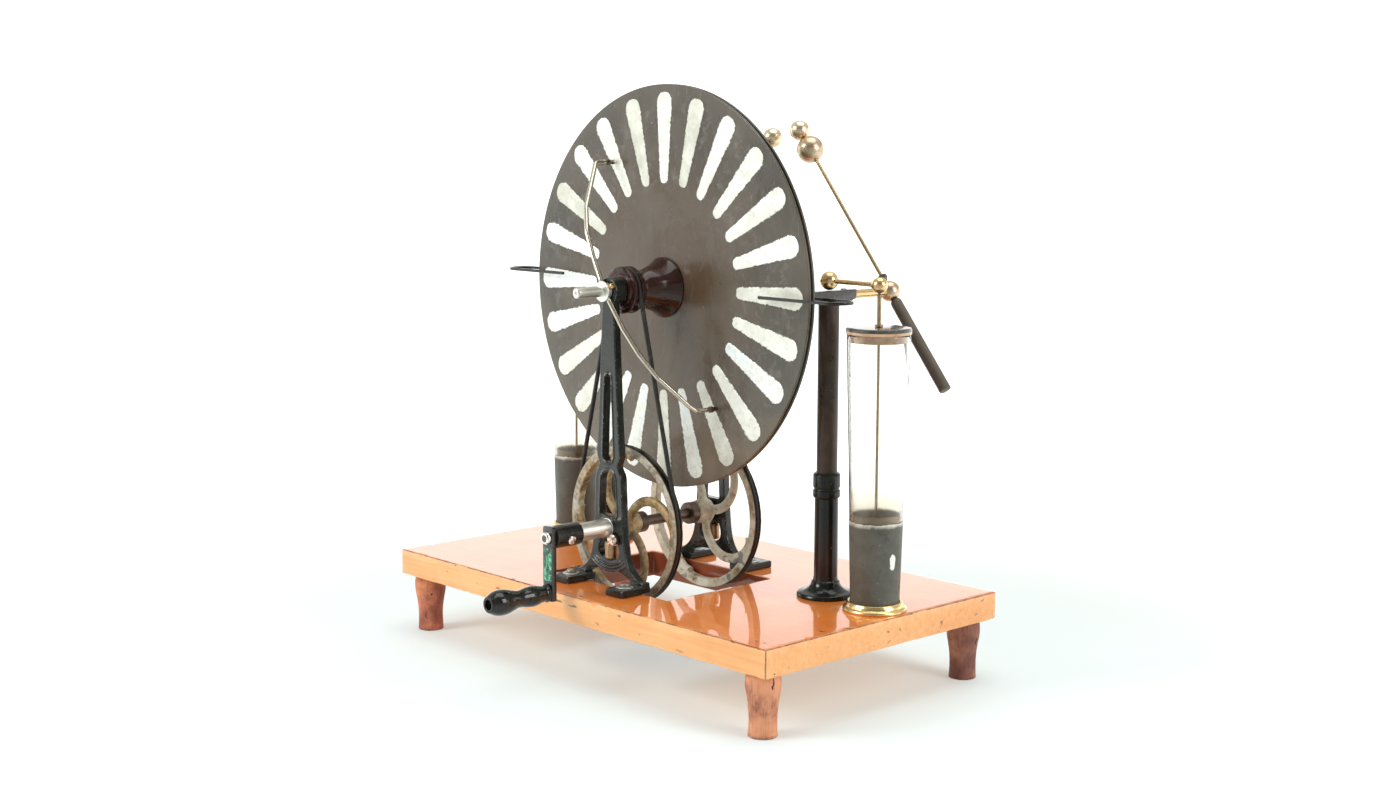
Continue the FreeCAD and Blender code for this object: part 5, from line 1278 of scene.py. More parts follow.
# ===========================================================================
# Plates, foil sectors, turned bosses
# ===========================================================================
for nm, y0, body, node in (("front_plate_disc", -33.0, "front_plate", "front_disc"), ("rear_plate_disc", -27.0, "rear_plate", "rear_disc")):
    prof = rounded([(9.0, 0), (60.0, 0), (140.0, 0), (225.0, 0, 0.9), (225.0, 3.0, 0.9), (140.0, 3.0), (60.0, 3.0), (9.0, 3.0)], 0.0, 5)
    put(lathe(nm, prof, (0, y0, 328), (0, 1, 0), MD, 256, loop=True), body, node, slot="plate_ebonite")


def build_sectors(name, face, out, body, node, seed):
    """Foils laid on a plate.  face: y of the plate's face; out: side."""
    rnd = random.Random(seed)
    verts, faces, across, tone = [], [], [], []
    nu, nv = 6, 56
    c1, r1, c2, r2 = 122.0, 7.0, 204.0, 13.0
    for s in range(24):
        ang = math.pi / 2 + 2 * math.pi * s / 24 + rnd.uniform(-0.006, 0.006)
        tn = rnd.random()
        lean = rnd.uniform(-0.7, 0.7)
        base = len(verts)
        lo, hi = 115.0 + rnd.uniform(-0.8, 1.2), 217.0 + rnd.uniform(-1.6, 0.6)
        for j in range(nv + 1):
            t = 0.5 - 0.5 * math.cos(math.pi * j / nv)
            r = lo + (hi - lo) * t
            k = (r - c1) / (c2 - c1)
            half = r1 + (r2 - r1) * k
            if r < c1:
                half = math.sqrt(max(r1 * r1 - (c1 - r) ** 2 * (r1 / (c1 - lo)) ** 2, 0.0))
            elif r > c2:
                half = math.sqrt(max(r2 * r2 - (r - c2) ** 2 * (r2 / (hi - c2)) ** 2, 0.0))
            for i in range(2 * nu + 1):
                u = (i - nu) / nu
                edge = abs(u) ** 3
                p = Vector((r * 0.42, u * 2.0 + s * 11.0, seed))
                ragged = (noise.noise(p) * 1.2 + noise.noise(Vector((r * 1.1, math.copysign(3.0, u) + s * 5.0, seed))) * 0.8) * edge
                w = (half + ragged * min(1.0, half / 5.0)) * u + lean * (r - 166) / 50
                rr = r + (noise.noise(Vector((w * 0.5, s * 3.0, seed + 9))) * 1.0 if j in (0, nv) else 0.0)
                x = rr * math.cos(ang) - w * math.sin(ang)
                z = rr * math.sin(ang) + w * math.cos(ang)
                lift = 0.16 + 0.05 * noise.noise(Vector((x * 0.12, z * 0.12, seed)))
                top = lift if abs(u) < 0.99 and 0 < j < nv else 0.015
                verts.append(P(x, face + out * top, 328 + z))
                across.append(max(abs(u) ** 2, abs(2 * t - 1) ** 14))
                tone.append(tn)
        m = 2 * nu + 1
        for j in range(nv):
            for i in range(2 * nu):
                a = base + j * m + i
                faces.append((a, a + 1, a + m + 1, a + m))
        # underside, so that each foil is a closed skin
        b2 = len(verts)
        for j in range(nv + 1):
            for i in (0, 2 * nu):
                v = verts[base + j * m + i].copy()
                v.y = P(0, face, 0).y + out * 0.000002
                verts.append(v)
                across.append(1.0)
                tone.append(tn)
        for j in range(nv):
            faces.append((base + j * m, base + (j + 1) * m, b2 + 2 * (j + 1), b2 + 2 * j))
            faces.append((base + j * m + m - 1, b2 + 2 * j + 1, b2 + 2 * j + 3, base + (j + 1) * m + m - 1))
            faces.append((b2 + 2 * j, b2 + 2 * j + 2, b2 + 2 * j + 3, b2 + 2 * j + 1))
        faces.append(tuple([base + i for i in range(m)] + [b2 + 1, b2]))
        faces.append(tuple([base + nv * m + i for i in range(m)][::-1] + [b2 + 2 * nv, b2 + 2 * nv + 1]))
    ob = new_object(name, verts, faces, MSF)
    for nm, vals in (("across", across), ("tone", tone)):
        at = ob.data.attributes.new(nm, "FLOAT", "POINT")
        at.data.foreach_set("value", np.array(vals, np.float32))
    bm = bmesh.new()
    bm.from_mesh(ob.data)
    bmesh.ops.recalc_face_normals(bm, faces=bm.faces)
    for f in bm.faces:
        f.smooth = True
    bm.to_mesh(ob.data)
    bm.free()
    return put(ob, body, node, slot="foil")


build_sectors("front_foils", -33.0, -1, "front_plate", "front_sectors", 3)
build_sectors("rear_foils", -24.0, 1, "rear_plate", "rear_sectors", 11)


def boss_profile(g):
    """Distances from the plate's outer face, away from it."""
    p = [(6.06, 0.02), (33.0, 0.02)] + rounded([(33.0, 0.02), (33.8, 0.5), (33.8, 1.8), (33.0, 2.6)], 0.5)
    p += flow([(32.8, 3.0), (31.2, 5.6), (29.4, 9.0), (27.6, 13.0), (25.8, 17.5), (24.0, 22.5), (22.2, 27.0), (20.0, 31.5), (17.8, 35.5), (16.3, 39.0)], 5)
    p += rounded([(16.0, g - 15.0), (15.7, g - 12.0), (17.0, g - 10.4), (17.0, g - 9.6), (22.6, g - 8.4), (25.2, g - 7.6), (26.0, g - 6.6), (26.0, g - 4.6), (25.2, g - 3.8)], 0.6)
    p += flow([(24.6, g - 3.4), (22.0, g - 1.9), (20.6, g - 0.8), (20.4, g), (20.6, g + 0.8), (22.0, g + 1.9), (24.6, g + 3.4)], 4)
    p += rounded([(25.2, g + 3.8), (26.0, g + 4.6), (26.0, g + 6.0), (25.0, g + 7.0), (21.4, g + 7.3), (20.4, g + 6.7), (18.4, g + 6.8), (17.8, g + 8.4), (11.0, g + 8.5), (6.06, g + 8.5)], 0.5)
    return p + [(6.06, g + 8.5)]


put(lathe("front_plate_boss", boss_profile(56.7), (0, -33, 328), (0, -1, 0), MOX, 128, loop=True), "front_plate", "front_boss", slot="oxblood")
put(lathe("rear_plate_boss", boss_profile(54.5), (0, -24, 328), (0, 1, 0), MOX, 128, loop=True), "rear_plate", "rear_boss", slot="oxblood")

# ===========================================================================
# Crank axle, wheels, collars
# ===========================================================================
put(lathe("crank_shaft", [(0, -206.5)] + rounded([(0.01, -206.5), (3.8, -206.5), (4.0, -206.0), (4.0, -195.45), (6.0, -195.45), (6.0, 61.2), (5.0, 62.0)], 0.3) + [(0, 62.0)],
          (0, 0, 65.5), (0, 1, 0), MS, 64), "drive", "crank_axle", slot="steel")


def wheel(name, y0, hub_in, hub_out, first, flip, mat, node):
    """Belt wheel.  Angles run from +X towards +Z, seen from the crank."""
    parts = []
    rim = rounded([(79.3, -5.0), (88.9, -5.0, 0.5), (89.5, -4.5, 0.4), (89.5, -3.9, 0.3), (87.0, -3.0), (84.1, -2.0, 0.5), (83.95, 0), (84.1, 2.0, 0.5), (87.0, 3.0),
                   (89.5, 3.9, 0.3), (89.5, 4.5, 0.4), (88.9, 5.0, 0.5), (79.3, 5.0)], 1.4)
    rim = [(79.3, -4.0), (79.9, -4.8)] + rim[1:-1] + [(79.9, 4.8), (79.3, 4.0)]
    parts.append(lathe(name + "_rim", rim, (0, y0, 65.5), (0, 1, 0), mat, 180, loop=True))
    hub = rounded([(6.3, -hub_in), (11.2, -hub_in), (12.4, -hub_in + 1.2), (13.8, -4.5), (14.4, 0), (13.8, 4.5), (12.4, hub_out - 1.2), (11.2, hub_out), (6.3, hub_out)], 1.4)
    parts.append(lathe(name + "_hub", hub + [(6.3, hub_out)], (0, y0, 65.5), (0, 1, 0), mat, 64, loop=True))
    for k in range(4):
        a0 = math.radians(first + 90 * k)
        cx, cz = 42.0 * math.cos(a0), 42.0 * math.sin(a0)
        # the arm follows the far side of a circle that touches hub and rim
        n = 34
        pts, rad = [], []
        for i in range(n + 1):
            f = i / n
            if flip:
                t = (a0 + math.pi - math.radians(10)) * (1 - f) + (a0 + math.radians(2)) * f
            else:
                t = (a0 - math.pi + math.radians(10)) * (1 - f) + (a0 - math.radians(2)) * f
            rr = 37.5 + 1.5 * f
            pts.append((cx + rr * math.cos(t), y0, 65.5 + cz + rr * math.sin(t)))
            # thicker where it grows out of the hub and into the rim
            rad.append(5.6 + 2.2 * max(0.0, 1 - f / 0.10) ** 2 + 2.6 * max(0.0, (f - 0.90) / 0.10) ** 2)
        arm = tube(name + "_arm", pts, rad, mat, 18, dome=False)
        # flattened to an oval standing in the plane of the wheel
        yy = P(0, y0, 0).y
        for v in arm.data.vertices:
            v.co.y = yy + (v.co.y - yy) * 0.66
        parts.append(arm)
    ob = cast(name, parts, mat, 0.85, 2, rough=0.18)
    return put(ob, "drive", node, slot="worn_iron")


wheel("front_belt_wheel", -89.7, 13.0, 15.5, -9, True, MWF, "front_wheel")
wheel("rear_belt_wheel", 30.5, 16.5, 6.5, -16, False, MWR, "rear_wheel")

col_parts = []
for i, (y0, y1, r, m) in enumerate(((-73.8, -64.0, 11.8, MS), (3.2, 13.6, 12.6, MS), (54.5, 60.0, 10.0, MN))):
    col_parts.append(lathe("collar_%d" % i, rounded([(6.03, y0), (r - 0.8, y0), (r, y0 + 0.8), (r, y1 - 0.8), (r - 0.8, y1), (6.03, y1)], 0.4) + [(6.03, y1)], (0, 0, 65.5), (0, 1, 0), m, 56, loop=True))
put(join("shaft_collars", col_parts), "drive", "wheel_collars", slot="steel")

# ===========================================================================
# Crank
# ===========================================================================
put(lathe("crank_hub", rounded([(6.03, -195.4), (11.9, -195.4), (12.5, -194.8), (12.5, -161.0), (11.9, -160.2), (6.03, -160.2)], 0.5) + [(6.03, -160.2)],
          (0, 0, 65.5), (0, 1, 0), MEB, 72, loop=True), "drive", "crank_boss", slot="black_iron")
sdir = (math.cos(math.radians(-15)), 0, math.sin(math.radians(-15)))
scr = slotted("hub_screw", [(0, 6.4), (2.4, 6.4), (2.4, 12.62)] + rounded([(2.4, 12.62), (4.9, 12.7), (5.0, 14.0)], 0.3) + flow([(5.0, 14.2), (4.2, 15.2), (2.4, 15.75), (0, 15.85)], 4),
              (0, -178.0, 65.5), sdir, MSB, 1.1, 1.2, 15.85, turn=0.2)
nutt = lathe("end_nut", rounded([(4.05, -206.1), (5.6, -206.1), (6.7, -204.6), (7.0, -203.4), (7.0, -201.7), (4.05, -201.7)], 0.4) + [(4.05, -201.7)], (0, 0, 65.5), (0, 1, 0), MSB, 48, loop=True)
put(join("crank_fasteners", [scr, nutt]), "drive", "crank_screws", slot="dull_screw")


def build_arm():
    out = [(-3.4, 78.1), (3.4, 78.1)]
    out = rounded([(0, 78.1), (8.3, 78.1, 6.5), (8.3, 60), (8.1, 1.0), (8.1, -4.2, 6.0), (0, -4.2), (-8.1, -4.2, 6.0), (-8.1, 1.0), (-8.3, 60), (-8.3, 78.1, 6.5), (0, 78.1)], 0.0, 8)[:-1]
    dense = []
    for i in range(len(out)):
        a, b = Vector(out[i]), Vector(out[(i + 1) % len(out)])
        k = max(1, int((b - a).length / 3.0))
        for j in range(k):
            dense.append(tuple(a.lerp(b, j / k)))

    def to(x, y, z):
        return P(x, -195.5 - z, y)
    ob = plate("crank_arm_plate", [dense, circle(0, 65.5, 4.1, 32)], 6.0, 0.7, MAR, to)
    at = ob.data.attributes.new("edge", "FLOAT", "POINT")
    vals = []
    for v in ob.data.vertices:
        y = v.co.y * 1000 - YC
        vals.append(0.6 if (-201.5 < y < -201.45 or -195.55 < y) else 0.0)
    return put(ob, "drive", "crank_arm", slot="black_iron")


build_arm()
put(lathe("grip_pin", [(0, -274.5)] + rounded([(0.01, -274.5), (4.4, -274.5), (5.0, -273.6), (5.0, -272.0), (3.0, -272.0), (3.0, -195.6)], 0.3) + [(0, -195.6)],
          (0, 0, 5.0), (0, 1, 0), MSC, 40), "drive", "handle_pin", slot="steel")

grip = rounded([(3.08, -202.2), (8.4, -202.2), (9.8, -203.0), (9.9, -204.8), (9.3, -206.6)], 0.6) + flow([
    (8.9, -208.0), (9.1, -211.0), (10.0, -215.5), (11.0, -220.5), (11.3, -225.5), (10.7, -231.0), (9.7, -236.5), (9.3, -240.5), (9.8, -245.5), (11.3, -251.0), (13.0, -257.0), (13.9, -262.5), (13.9, -268.0),
    (12.9, -273.0), (11.2, -277.0), (9.6, -280.0)], 5) + rounded([(9.2, -280.8), (8.7, -281.7), (7.6, -282.0), (5.9, -282.0), (5.4, -281.4), (5.4, -271.8), (3.08, -271.8)], 0.35) + [(3.08, -271.8)]
put(lathe("turned_grip", grip, (0, 0, 5.0), (0, 1, 0), MHB, 96, loop=True), "handle", "crank_handle", slot="black_ebonite")

# ===========================================================================
# Belts
# ===========================================================================
RW, RP, DIST = 86.8, 23.3, 262.5


def belt_front():
    a = math.asin((RW - RP) / DIST)
    pts = []
    n = 72
    for k in range(n + 1):                 # round the wheel, underneath
        t = math.pi - a + (math.pi + 2 * a) * k / n
        pts.append((RW * math.cos(t), 0, RW * math.sin(t)))
    m = 60
    s, e = Vector(pts[-1]), Vector((RP * math.cos(a), 0, DIST + RP * math.sin(a)))
    for k in range(1, m):
        f = k / m
        q = s.lerp(e, f)
        sag = math.sin(math.pi * f) * 0.8
        pts.append((q.x - sag * math.cos(a) * 0.6, q.y, q.z))
    for k in range(33):
        t = a + (math.pi - 2 * a) * k / 32
        pts.append((RP * math.cos(t), 0, DIST + RP * math.sin(t)))
    s, e = Vector(pts[-1]), Vector(pts[0])
    for k in range(1, m):
        f = k / m
        q = s.lerp(e, f)
        sag = math.sin(math.pi * f) * 1.0
        pts.append((q.x + sag * math.cos(a) * 0.6, q.y, q.z))
    return [(x, -89.7 + y, 65.5 + z) for x, y, z in pts]


def belt_rear():
    a = math.acos((RW + RP) / DIST)
    pts = []
    n = 80
    for k in range(n + 1):
        t = math.pi / 2 + a + (2 * math.pi - 2 * a) * k / n
        pts.append((RW * math.cos(t), 0.0, RW * math.sin(t)))
    cross = DIST * RW / (RW + RP)

    def strand(s, e, side):
        m = 60
        for k in range(1, m):
            q = Vector(s).lerp(Vector(e), k / m)
            pts.append((q.x, side * 2.85 * math.exp(-((q.z - cross) / 40.0) ** 2), q.z))
    e1 = (-RP * math.sin(a), 0.0, DIST - RP * math.cos(a))
    strand(pts[-1], e1, 1)
    for k in range(41):
        t = -math.pi / 2 - a - (2 * math.pi - 2 * a) * k / 40
        pts.append((RP * math.cos(t), 0.0, DIST + RP * math.sin(t)))
    strand(pts[-1], pts[0], -1)
    return [(x, 30.5 + y, 65.5 + z) for x, y, z in pts]


def belt_radii(n, seed):
    return [2.5 + 0.10 * noise.noise(Vector((i * 0.35, seed, 0))) for i in range(n)]


pf, pr = belt_front(), belt_rear()
put(tube("front_drive_belt", pf, belt_radii(len(pf), 1.5), ML, 16, closed=True), "base", "front_belt", slot="leather")
put(tube("rear_drive_belt", pr, belt_radii(len(pr), 7.5), ML, 16, closed=True), "base", "rear_belt", slot="leather")

# ===========================================================================
# Neutralizers
# ===========================================================================
up_path = [(9.45, -119.24), (46, -117.0), (73.5, -113.0), (103.5, -101.2), (127.5, -85.0), (153, -67.5), (161.2, -62.0), (161.6, -47.0)]
low_path = [(9.45, -119.24), (48, -117.2), (81.3, -110.6), (111.7, -98.6), (135.2, -82.0), (149.5, -72.5), (155.6, -66.0), (155.9, -47.0)]


def neutralizer(prefix, mirror, body, seed):
    def my(y):
        return -57.0 - y if mirror else y

    def at(s, y, deg):
        a = math.radians(deg)
        x = s * math.cos(a)
        return (-x if mirror else x, my(y), 328 + s * math.sin(a))
    o = (0, 0, 328)
    d = (0, 1, 0) if mirror else (0, -1, 0)
    base = (0, -57.0 if mirror else 0.0, 328)
    c = lathe(prefix + "_ring_collar", rounded([(6.06, 116.1), (8.6, 116.1), (9.2, 116.6), (9.2, 121.6), (10.8, 121.9), (11.4, 122.6), (11.4, 123.8), (10.8, 124.4), (9.6, 124.5), (8.0, 124.2), (6.06, 124.2)], 0.35) + [(6.06, 124.2)],
              base, d, MN, 72, loop=True)
    put(c, body, prefix + "_collar", slot="nickel")
    rods = []
    for path, deg in ((up_path, 121.0), (low_path, 305.0)):
        pts = filleted([at(s, y, deg) for s, y in path], 18.0, 8, 5.0)
        rods.append(tube(prefix + "_rod", pts, 2.6, MNR, 20))
    put(join(prefix + "_bent_rods", rods), body, prefix + "_rods", slot="nickel")
    rnd = random.Random(seed)
    tufts = []
    for path, deg in ((up_path, 121.0), (low_path, 305.0)):
        s = path[-1][0]
        a = at(s, -46.88, deg)
        dd = (0, -1, 0) if mirror else (0, 1, 0)
        tufts.append(lathe(prefix + "_ferrule", [(0, 0)] + rounded([(0.01, 0.0), (3.2, 0.0), (3.5, 0.6), (3.5, 4.2), (2.9, 5.4)], 0.3) + [(0, 5.4)], a, dd, MS, 28))
        for w in range(46):
            u = Vector((math.sqrt(rnd.random()) * 2.5, rnd.uniform(0, 2 * math.pi), 0))
            x0, z0 = u.x * math.cos(u.y), u.x * math.sin(u.y)
            sp = 1.0 + rnd.uniform(0.0, 0.40)
            end = rnd.uniform(11.0, 12.9)
            bx, bz = rnd.uniform(-0.5, 0.5), rnd.uniform(-0.5, 0.5)
            pts = []
            for k in range(6):
                f = k / 5
                pts.append((a[0] + x0 * (1 + (sp - 1) * f) + bx * f * f, a[1] + dd[1] * (4.6 + (end - 4.6) * f), a[2] + z0 * (1 + (sp - 1) * f) + bz * f * f))
            tufts.append(tube(prefix + "_wire", pts, 0.16, MT, 5, dome=False))
    put(join(prefix + "_tinsel", tufts), body, prefix + "_brushes", slot="tinsel")
    a = math.radians(30.0)
    sd = ((-1 if mirror else 1) * math.cos(a), 0, math.sin(a))
    sc = lathe(prefix + "_thumb_screw", [(0, 9.3), (1.6, 9.3)] + rounded([(1.6, 10.6), (2.8, 10.8), (3.1, 11.4), (3.1, 13.9), (2.6, 14.8)], 0.3) + [(0, 15.0)],
               (0, my(-118.72), 328), sd, MBY, 32)
    put(sc, body, prefix + "_screw", slot="brass")


neutralizer("front_neutralizer", False, "front_neutralizer", 5)
neutralizer("rear_neutralizer", True, "rear_neutralizer", 6)

# ===========================================================================
# Columns, bars, tubes, combs
# ===========================================================================
bases = []
for i, (cx, cy) in enumerate(((195.0, 29.0), (-193.0, 49.0))):
    prof = [(0, 0.02)] + rounded([(0.01, 0.02), (30.9, 0.02), (31.5, 0.8), (31.5, 2.6), (30.8, 4.4)], 0.6)
    prof += flow([(30.2, 4.9), (27.6, 5.6), (24.8, 6.1), (21.8, 7.6), (19.0, 9.7), (16.9, 12.2), (15.6, 14.6)], 5)
    prof += rounded([(15.4, 15.0), (15.4, 16.8), (13.7, 18.0), (12.95, 22.0), (12.75, 60.0), (12.75, 108.3), (14.2, 109.2), (14.95, 110.8), (14.95, 116.6), (13.9, 117.9), (13.9, 119.7), (14.95, 121.0), (14.95, 133.8),
                      (13.6, 135.9), (11.9, 136.0), (11.45, 135.2), (11.45, 91.0)], 0.7)
    prof += [(11.45, 90.5), (0, 90.5)]
    bases.append(lathe("column_socket_%d" % i, prof, (cx, cy, 0), (0, 0, 1), MCS, 96))
put(join("column_sockets", bases), "base", "column_bases", slot="black_ebonite")
for nm, cx, cy, up in (("right", 195.0, 29.0, 0.0), ("left", -193.0, 49.0, 8.0)):
    put(lathe(nm + "_column", [(0, 90.8)] + rounded([(0.01, 90.8), (11.2, 90.8), (11.35, 91.2), (11.35, 319.9 + up), (10.9, 320.4 + up)], 0.3) + [(0, 320.4 + up)],
              (cx, cy, 0), (0, 0, 1), MCR, 80), "base", nm + "_column_rod", slot="brown_ebonite")

bars, tubes = [], []
for i, (cx, up) in enumerate(((195.0, 0.0), (-193.0, 8.0))):
    zb = 320.5 + up
    side = rounded([(-10.4, 0.1, 0.6), (-10.4, 0.1), (60.0, 0.1, 6.0), (65.8, 6.5, 2.0), (65.8, 12.5, 0.6), (20.0, 12.5), (-10.4, 12.5)], 0.0, 8)

    def to(x, y, z, cx=cx, zb=zb):
        return P(cx - 6.5 + z, x, zb + y)
    outl = rounded([(20.0, 0.1), (60.0, 0.1, 7.0), (65.8, 6.5, 2.0), (65.8, 12.5, 0.5), (-10.4, 12.5, 0.3), (-10.4, 0.1, 0.3), (20.0, 0.1)], 0.0, 8)[:-1]
    bars.append(plate("bar_%d" % i, [outl], 13.0, 0.7, MBK, to))
    # two fixing screws in its top
    for yy in (-3.0, 52.0):
        bars.append(slotted("bar_screw_%d_%d" % (i, int(yy)), [(0, 11.0), (3.1, 11.0)] + rounded([(3.1, 12.2), (3.3, 12.9), (2.6, 13.7)], 0.3) + [(0, 14.0)], (cx, yy, zb), (0, 0, 1), MSC, 0.7, 0.7, 14.0, turn=0.5 + yy))
    z = 327.0 + up
    tubes.append(lathe("tube_%d" % i, [(0, 58.4)] + rounded([(0.01, 58.4), (4.3, 58.4), (4.75, 58.9), (4.75, 66.2), (5.6, 66.4), (5.6, 68.6), (4.75, 69.0), (4.75, 113.4), (5.5, 113.7), (5.5, 115.2), (4.6, 115.8), (3.0, 115.8), (3.0, 132.8)], 0.3) + [(0, 132.8)],
                       (cx, 0, z), (0, 1, 0), MBY, 48))
put(join("head_bars", bars), "base", "conductor_bars", slot="black_ebonite")
put(join("conductor_stems", tubes), "base", "conductor_tubes", slot="brass")


def comb(name, side, z0, node, tip):
    """Collector: bent flat strip, points on its inner edges, turned tip."""
    yf, yr, h = -45.3, -11.7, 1.25
    yc, R = (yf + yr) / 2, (yr - yf) / 2
    line = [(163.0, yf)]
    for k in range(1, 25):
        line.append((163.0 + (258.8 - 163.0) * k / 24, yf))
    for k in range(1, 33):
        t = -math.pi / 2 + math.pi * k / 32
        line.append((258.8 + R * math.cos(t), yc + R * math.sin(t)))
    for k in range(1, 25):
        line.append((258.8 - (258.8 - 163.0) * k / 24, yr))
    # rectangular section with rounded corners, swept along the plan line
    sec = []
    for cx, cz, a0 in ((h - 0.45, 3.4 - 0.45, 0), (-h + 0.45, 3.4 - 0.45, 90), (-h + 0.45, 0.45, 180), (h - 0.45, 0.45, 270)):
        for k in range(4):
            a = math.radians(a0 + 30 * k)
            sec.append((cx + 0.45 * math.cos(a), cz + 0.45 * math.sin(a)))
    verts, rows = [], []
    n = len(line)
    for i, (x, y) in enumerate(line):
        a = line[max(i - 1, 0)]
        b = line[min(i + 1, n - 1)]
        t = Vector((b[0] - a[0], b[1] - a[1])).normalized()
        nr = Vector((t.y, -t.x))
        sc = 1.0
        ids = []
        for u, w in sec:
            ids.append(len(verts))
            verts.append(P(side * (x + nr.x * u * sc), y + nr.y * u * sc, z0 + w))
        rows.append(ids)
    faces = []
    m = len(sec)
    for a, b in zip(rows[:-1], rows[1:]):
        for k in range(m):
            faces.append((a[k], a[(k + 1) % m], b[(k + 1) % m], b[k]))
    faces.append(tuple(rows[0])); faces.append(tuple(reversed(rows[-1])))
    parts = [tidy(new_object(name + "_strip", verts, faces, MEB), 45)]
    x = 169.0
    while x < 214.0:
        for y, d in ((yr - h + 0.2, -1), (yf + h - 0.2, 1)):
            parts.append(lathe(name + "_point", [(0, 0), (0.75, 0), (0.6, 1.2), (0.16, 4.2), (0, 4.35)], (side * x, y, z0 + 1.7), (0, d, 0), MSC, 12))
        x += 7.5
    # small bead on the crank-side tip
    parts.append(lathe(name + "_tip", [(0, -1.7)] + flow([(0.01, -1.7), (1.5, -1.2), (1.9, 0), (1.5, 1.2), (0.01, 1.7)], 4)[1:-1] + [(0, 1.7)], (side * 164.0, yf, z0 + 1.7), (0, 0, 1), MEB, 20))
    return put(join(name, parts), "base", node, slot="black_wire")


comb("right_collector", 1, 325.8, "right_comb", True)
comb("left_collector", -1, 333.8, "left_comb", True)

# ===========================================================================
# Dischargers
# ===========================================================================


def sphere_prof(r, hole, n=40):
    """Half circle from one bored pole to the other."""
    a0 = math.asin(min(hole / r, 0.99))
    pts = []
    for k in range(n + 1):
        t = a0 + (math.pi - 2 * a0) * k / n
        pts.append((r * math.sin(t), -r * math.cos(t)))
    return pts


def solid_ball(name, r, at, direction, mat, neck=None):
    """Turned ball; neck: (radius, length) of a small collar where the rod
    enters at the low end of direction."""
    if neck:
        nr, nl = neck
        body = [(p, h) for p, h in sphere_prof(r, nr, 44)]
        start = body[0][1]
        prof = [(0, start - nl)] + rounded([(0.01, start - nl), (nr * 0.86, start - nl), (nr, start - nl + 0.4), (nr, start + 0.05)], 0.25) + body[1:-1]
        prof = prof + [(0, r)] if nr < 0.1 else [q for q in prof if not (q[1] > 0 and q[0] < nr * 0.5)] + [(0, r * 1.0)]
    else:
        prof = [(0, -r)] + sphere_prof(r, 0.02, 44)[1:-1] + [(0, r)]
    return lathe(name, prof, at, direction, mat, 72)


def discharger(prefix, cx, zc, deg, reach, body, mats):
    a = math.radians(deg)
    d = Vector((math.cos(a), 0, math.sin(a)))
    o = Vector((cx, 127.0, zc))
    mb, msm = mats

    def at(t):
        return tuple(o + d * t)
    big_at = reach - 15.5 - 11.5 - 0.4
    parts = [solid_ball(prefix + "_pivot_ball", 11.5, tuple(o), (0, 1, 0), MBB)]
    parts.append(solid_ball(prefix + "_big_ball", 15.5, at(big_at), tuple(d), mb, neck=(3.4, 1.2)))
    parts.append(solid_ball(prefix + "_small_ball", 11.5, at(reach), tuple(d), msm))
    # little cap screw that closes the pivot ball
    parts.append(slotted(prefix + "_cap", [(0, 10.6), (3.2, 10.6)] + rounded([(3.2, 11.6), (3.3, 12.2), (2.6, 12.8)], 0.3) + [(0, 13.0)], tuple(o), (0, 1, 0), MBY, 0.7, 0.7, 13.0))
    put(join(prefix + "_turned_balls", parts), body, prefix + "_balls", slot="brass")
    pts = [at(t) for t in np.linspace(11.3, big_at - 15.2, 40)]
    rod = tube(prefix + "_stem", pts, 2.0, MST, 20)
    pts2 = [at(t) for t in np.linspace(big_at + 15.2, reach - 11.2, 4)]
    rod2 = tube(prefix + "_stem2", pts2, 2.0, MST, 20)
    put(join(prefix + "_stems", [rod, rod2]), body, prefix + "_rod", slot="brass")
    # knurled nut
    segs = 30
    verts, rows = [], []
    prof = [(2.1, 11.9), (3.0, 11.9), (3.4, 13.0), (4.4, 15.4), (5.2, 16.8), (5.6, 17.4), (5.6, 19.9), (5.1, 20.5), (2.1, 20.5)]
    q = Vector((0, 0, 1)).rotation_difference(d)
    po = P(*o)
    for r, hh in prof:
        ids = []
        for k in range(segs * 2):
            t = math.pi * k / segs
            rr = r - (0.32 if (k % 2 and r > 5) else 0.0)
            ids.append(len(verts))
            verts.append(po + q @ Vector((rr * math.cos(t) / 1000, rr * math.sin(t) / 1000, hh / 1000)))
        rows.append(ids)
    faces = []
    for i in range(len(rows)):
        a_, b_ = rows[i], rows[(i + 1) % len(rows)]
        for k in range(segs * 2):
            k2 = (k + 1) % (segs * 2)
            faces.append((a_[k], a_[k2], b_[k2], b_[k]))
    nut = tidy(new_object(prefix + "_knurled_nut", verts, faces, MS), 25)
    put(nut, body, prefix + "_nut", slot="black_wire")
    hd = -d
    prof = [(0, 11.55)] + rounded([(0.01, 11.55), (3.6, 11.55), (4.6, 11.9), (5.8, 13.2)], 0.5) + flow([(6.2, 14.5), (6.5, 20.0), (6.6, 50.0), (6.75, 100.0), (6.8, 128.6)], 4) + rounded([(6.8, 129.4), (6.5, 130.7), (5.6, 131.0)], 0.4) + [(0, 131.0)]
    put(lathe(prefix + "_grip", prof, tuple(o), tuple(hd), MHR, 64), body, prefix + "_handle", slot="brown_ebonite")


discharger("right_discharger", 195.0, 327.0, 128.7, 225.0, "right_discharger", (MBB, MBR))
discharger("left_discharger", -193.0, 335.0, 38.0, 258.5, "left_discharger", (MBB, MBR))

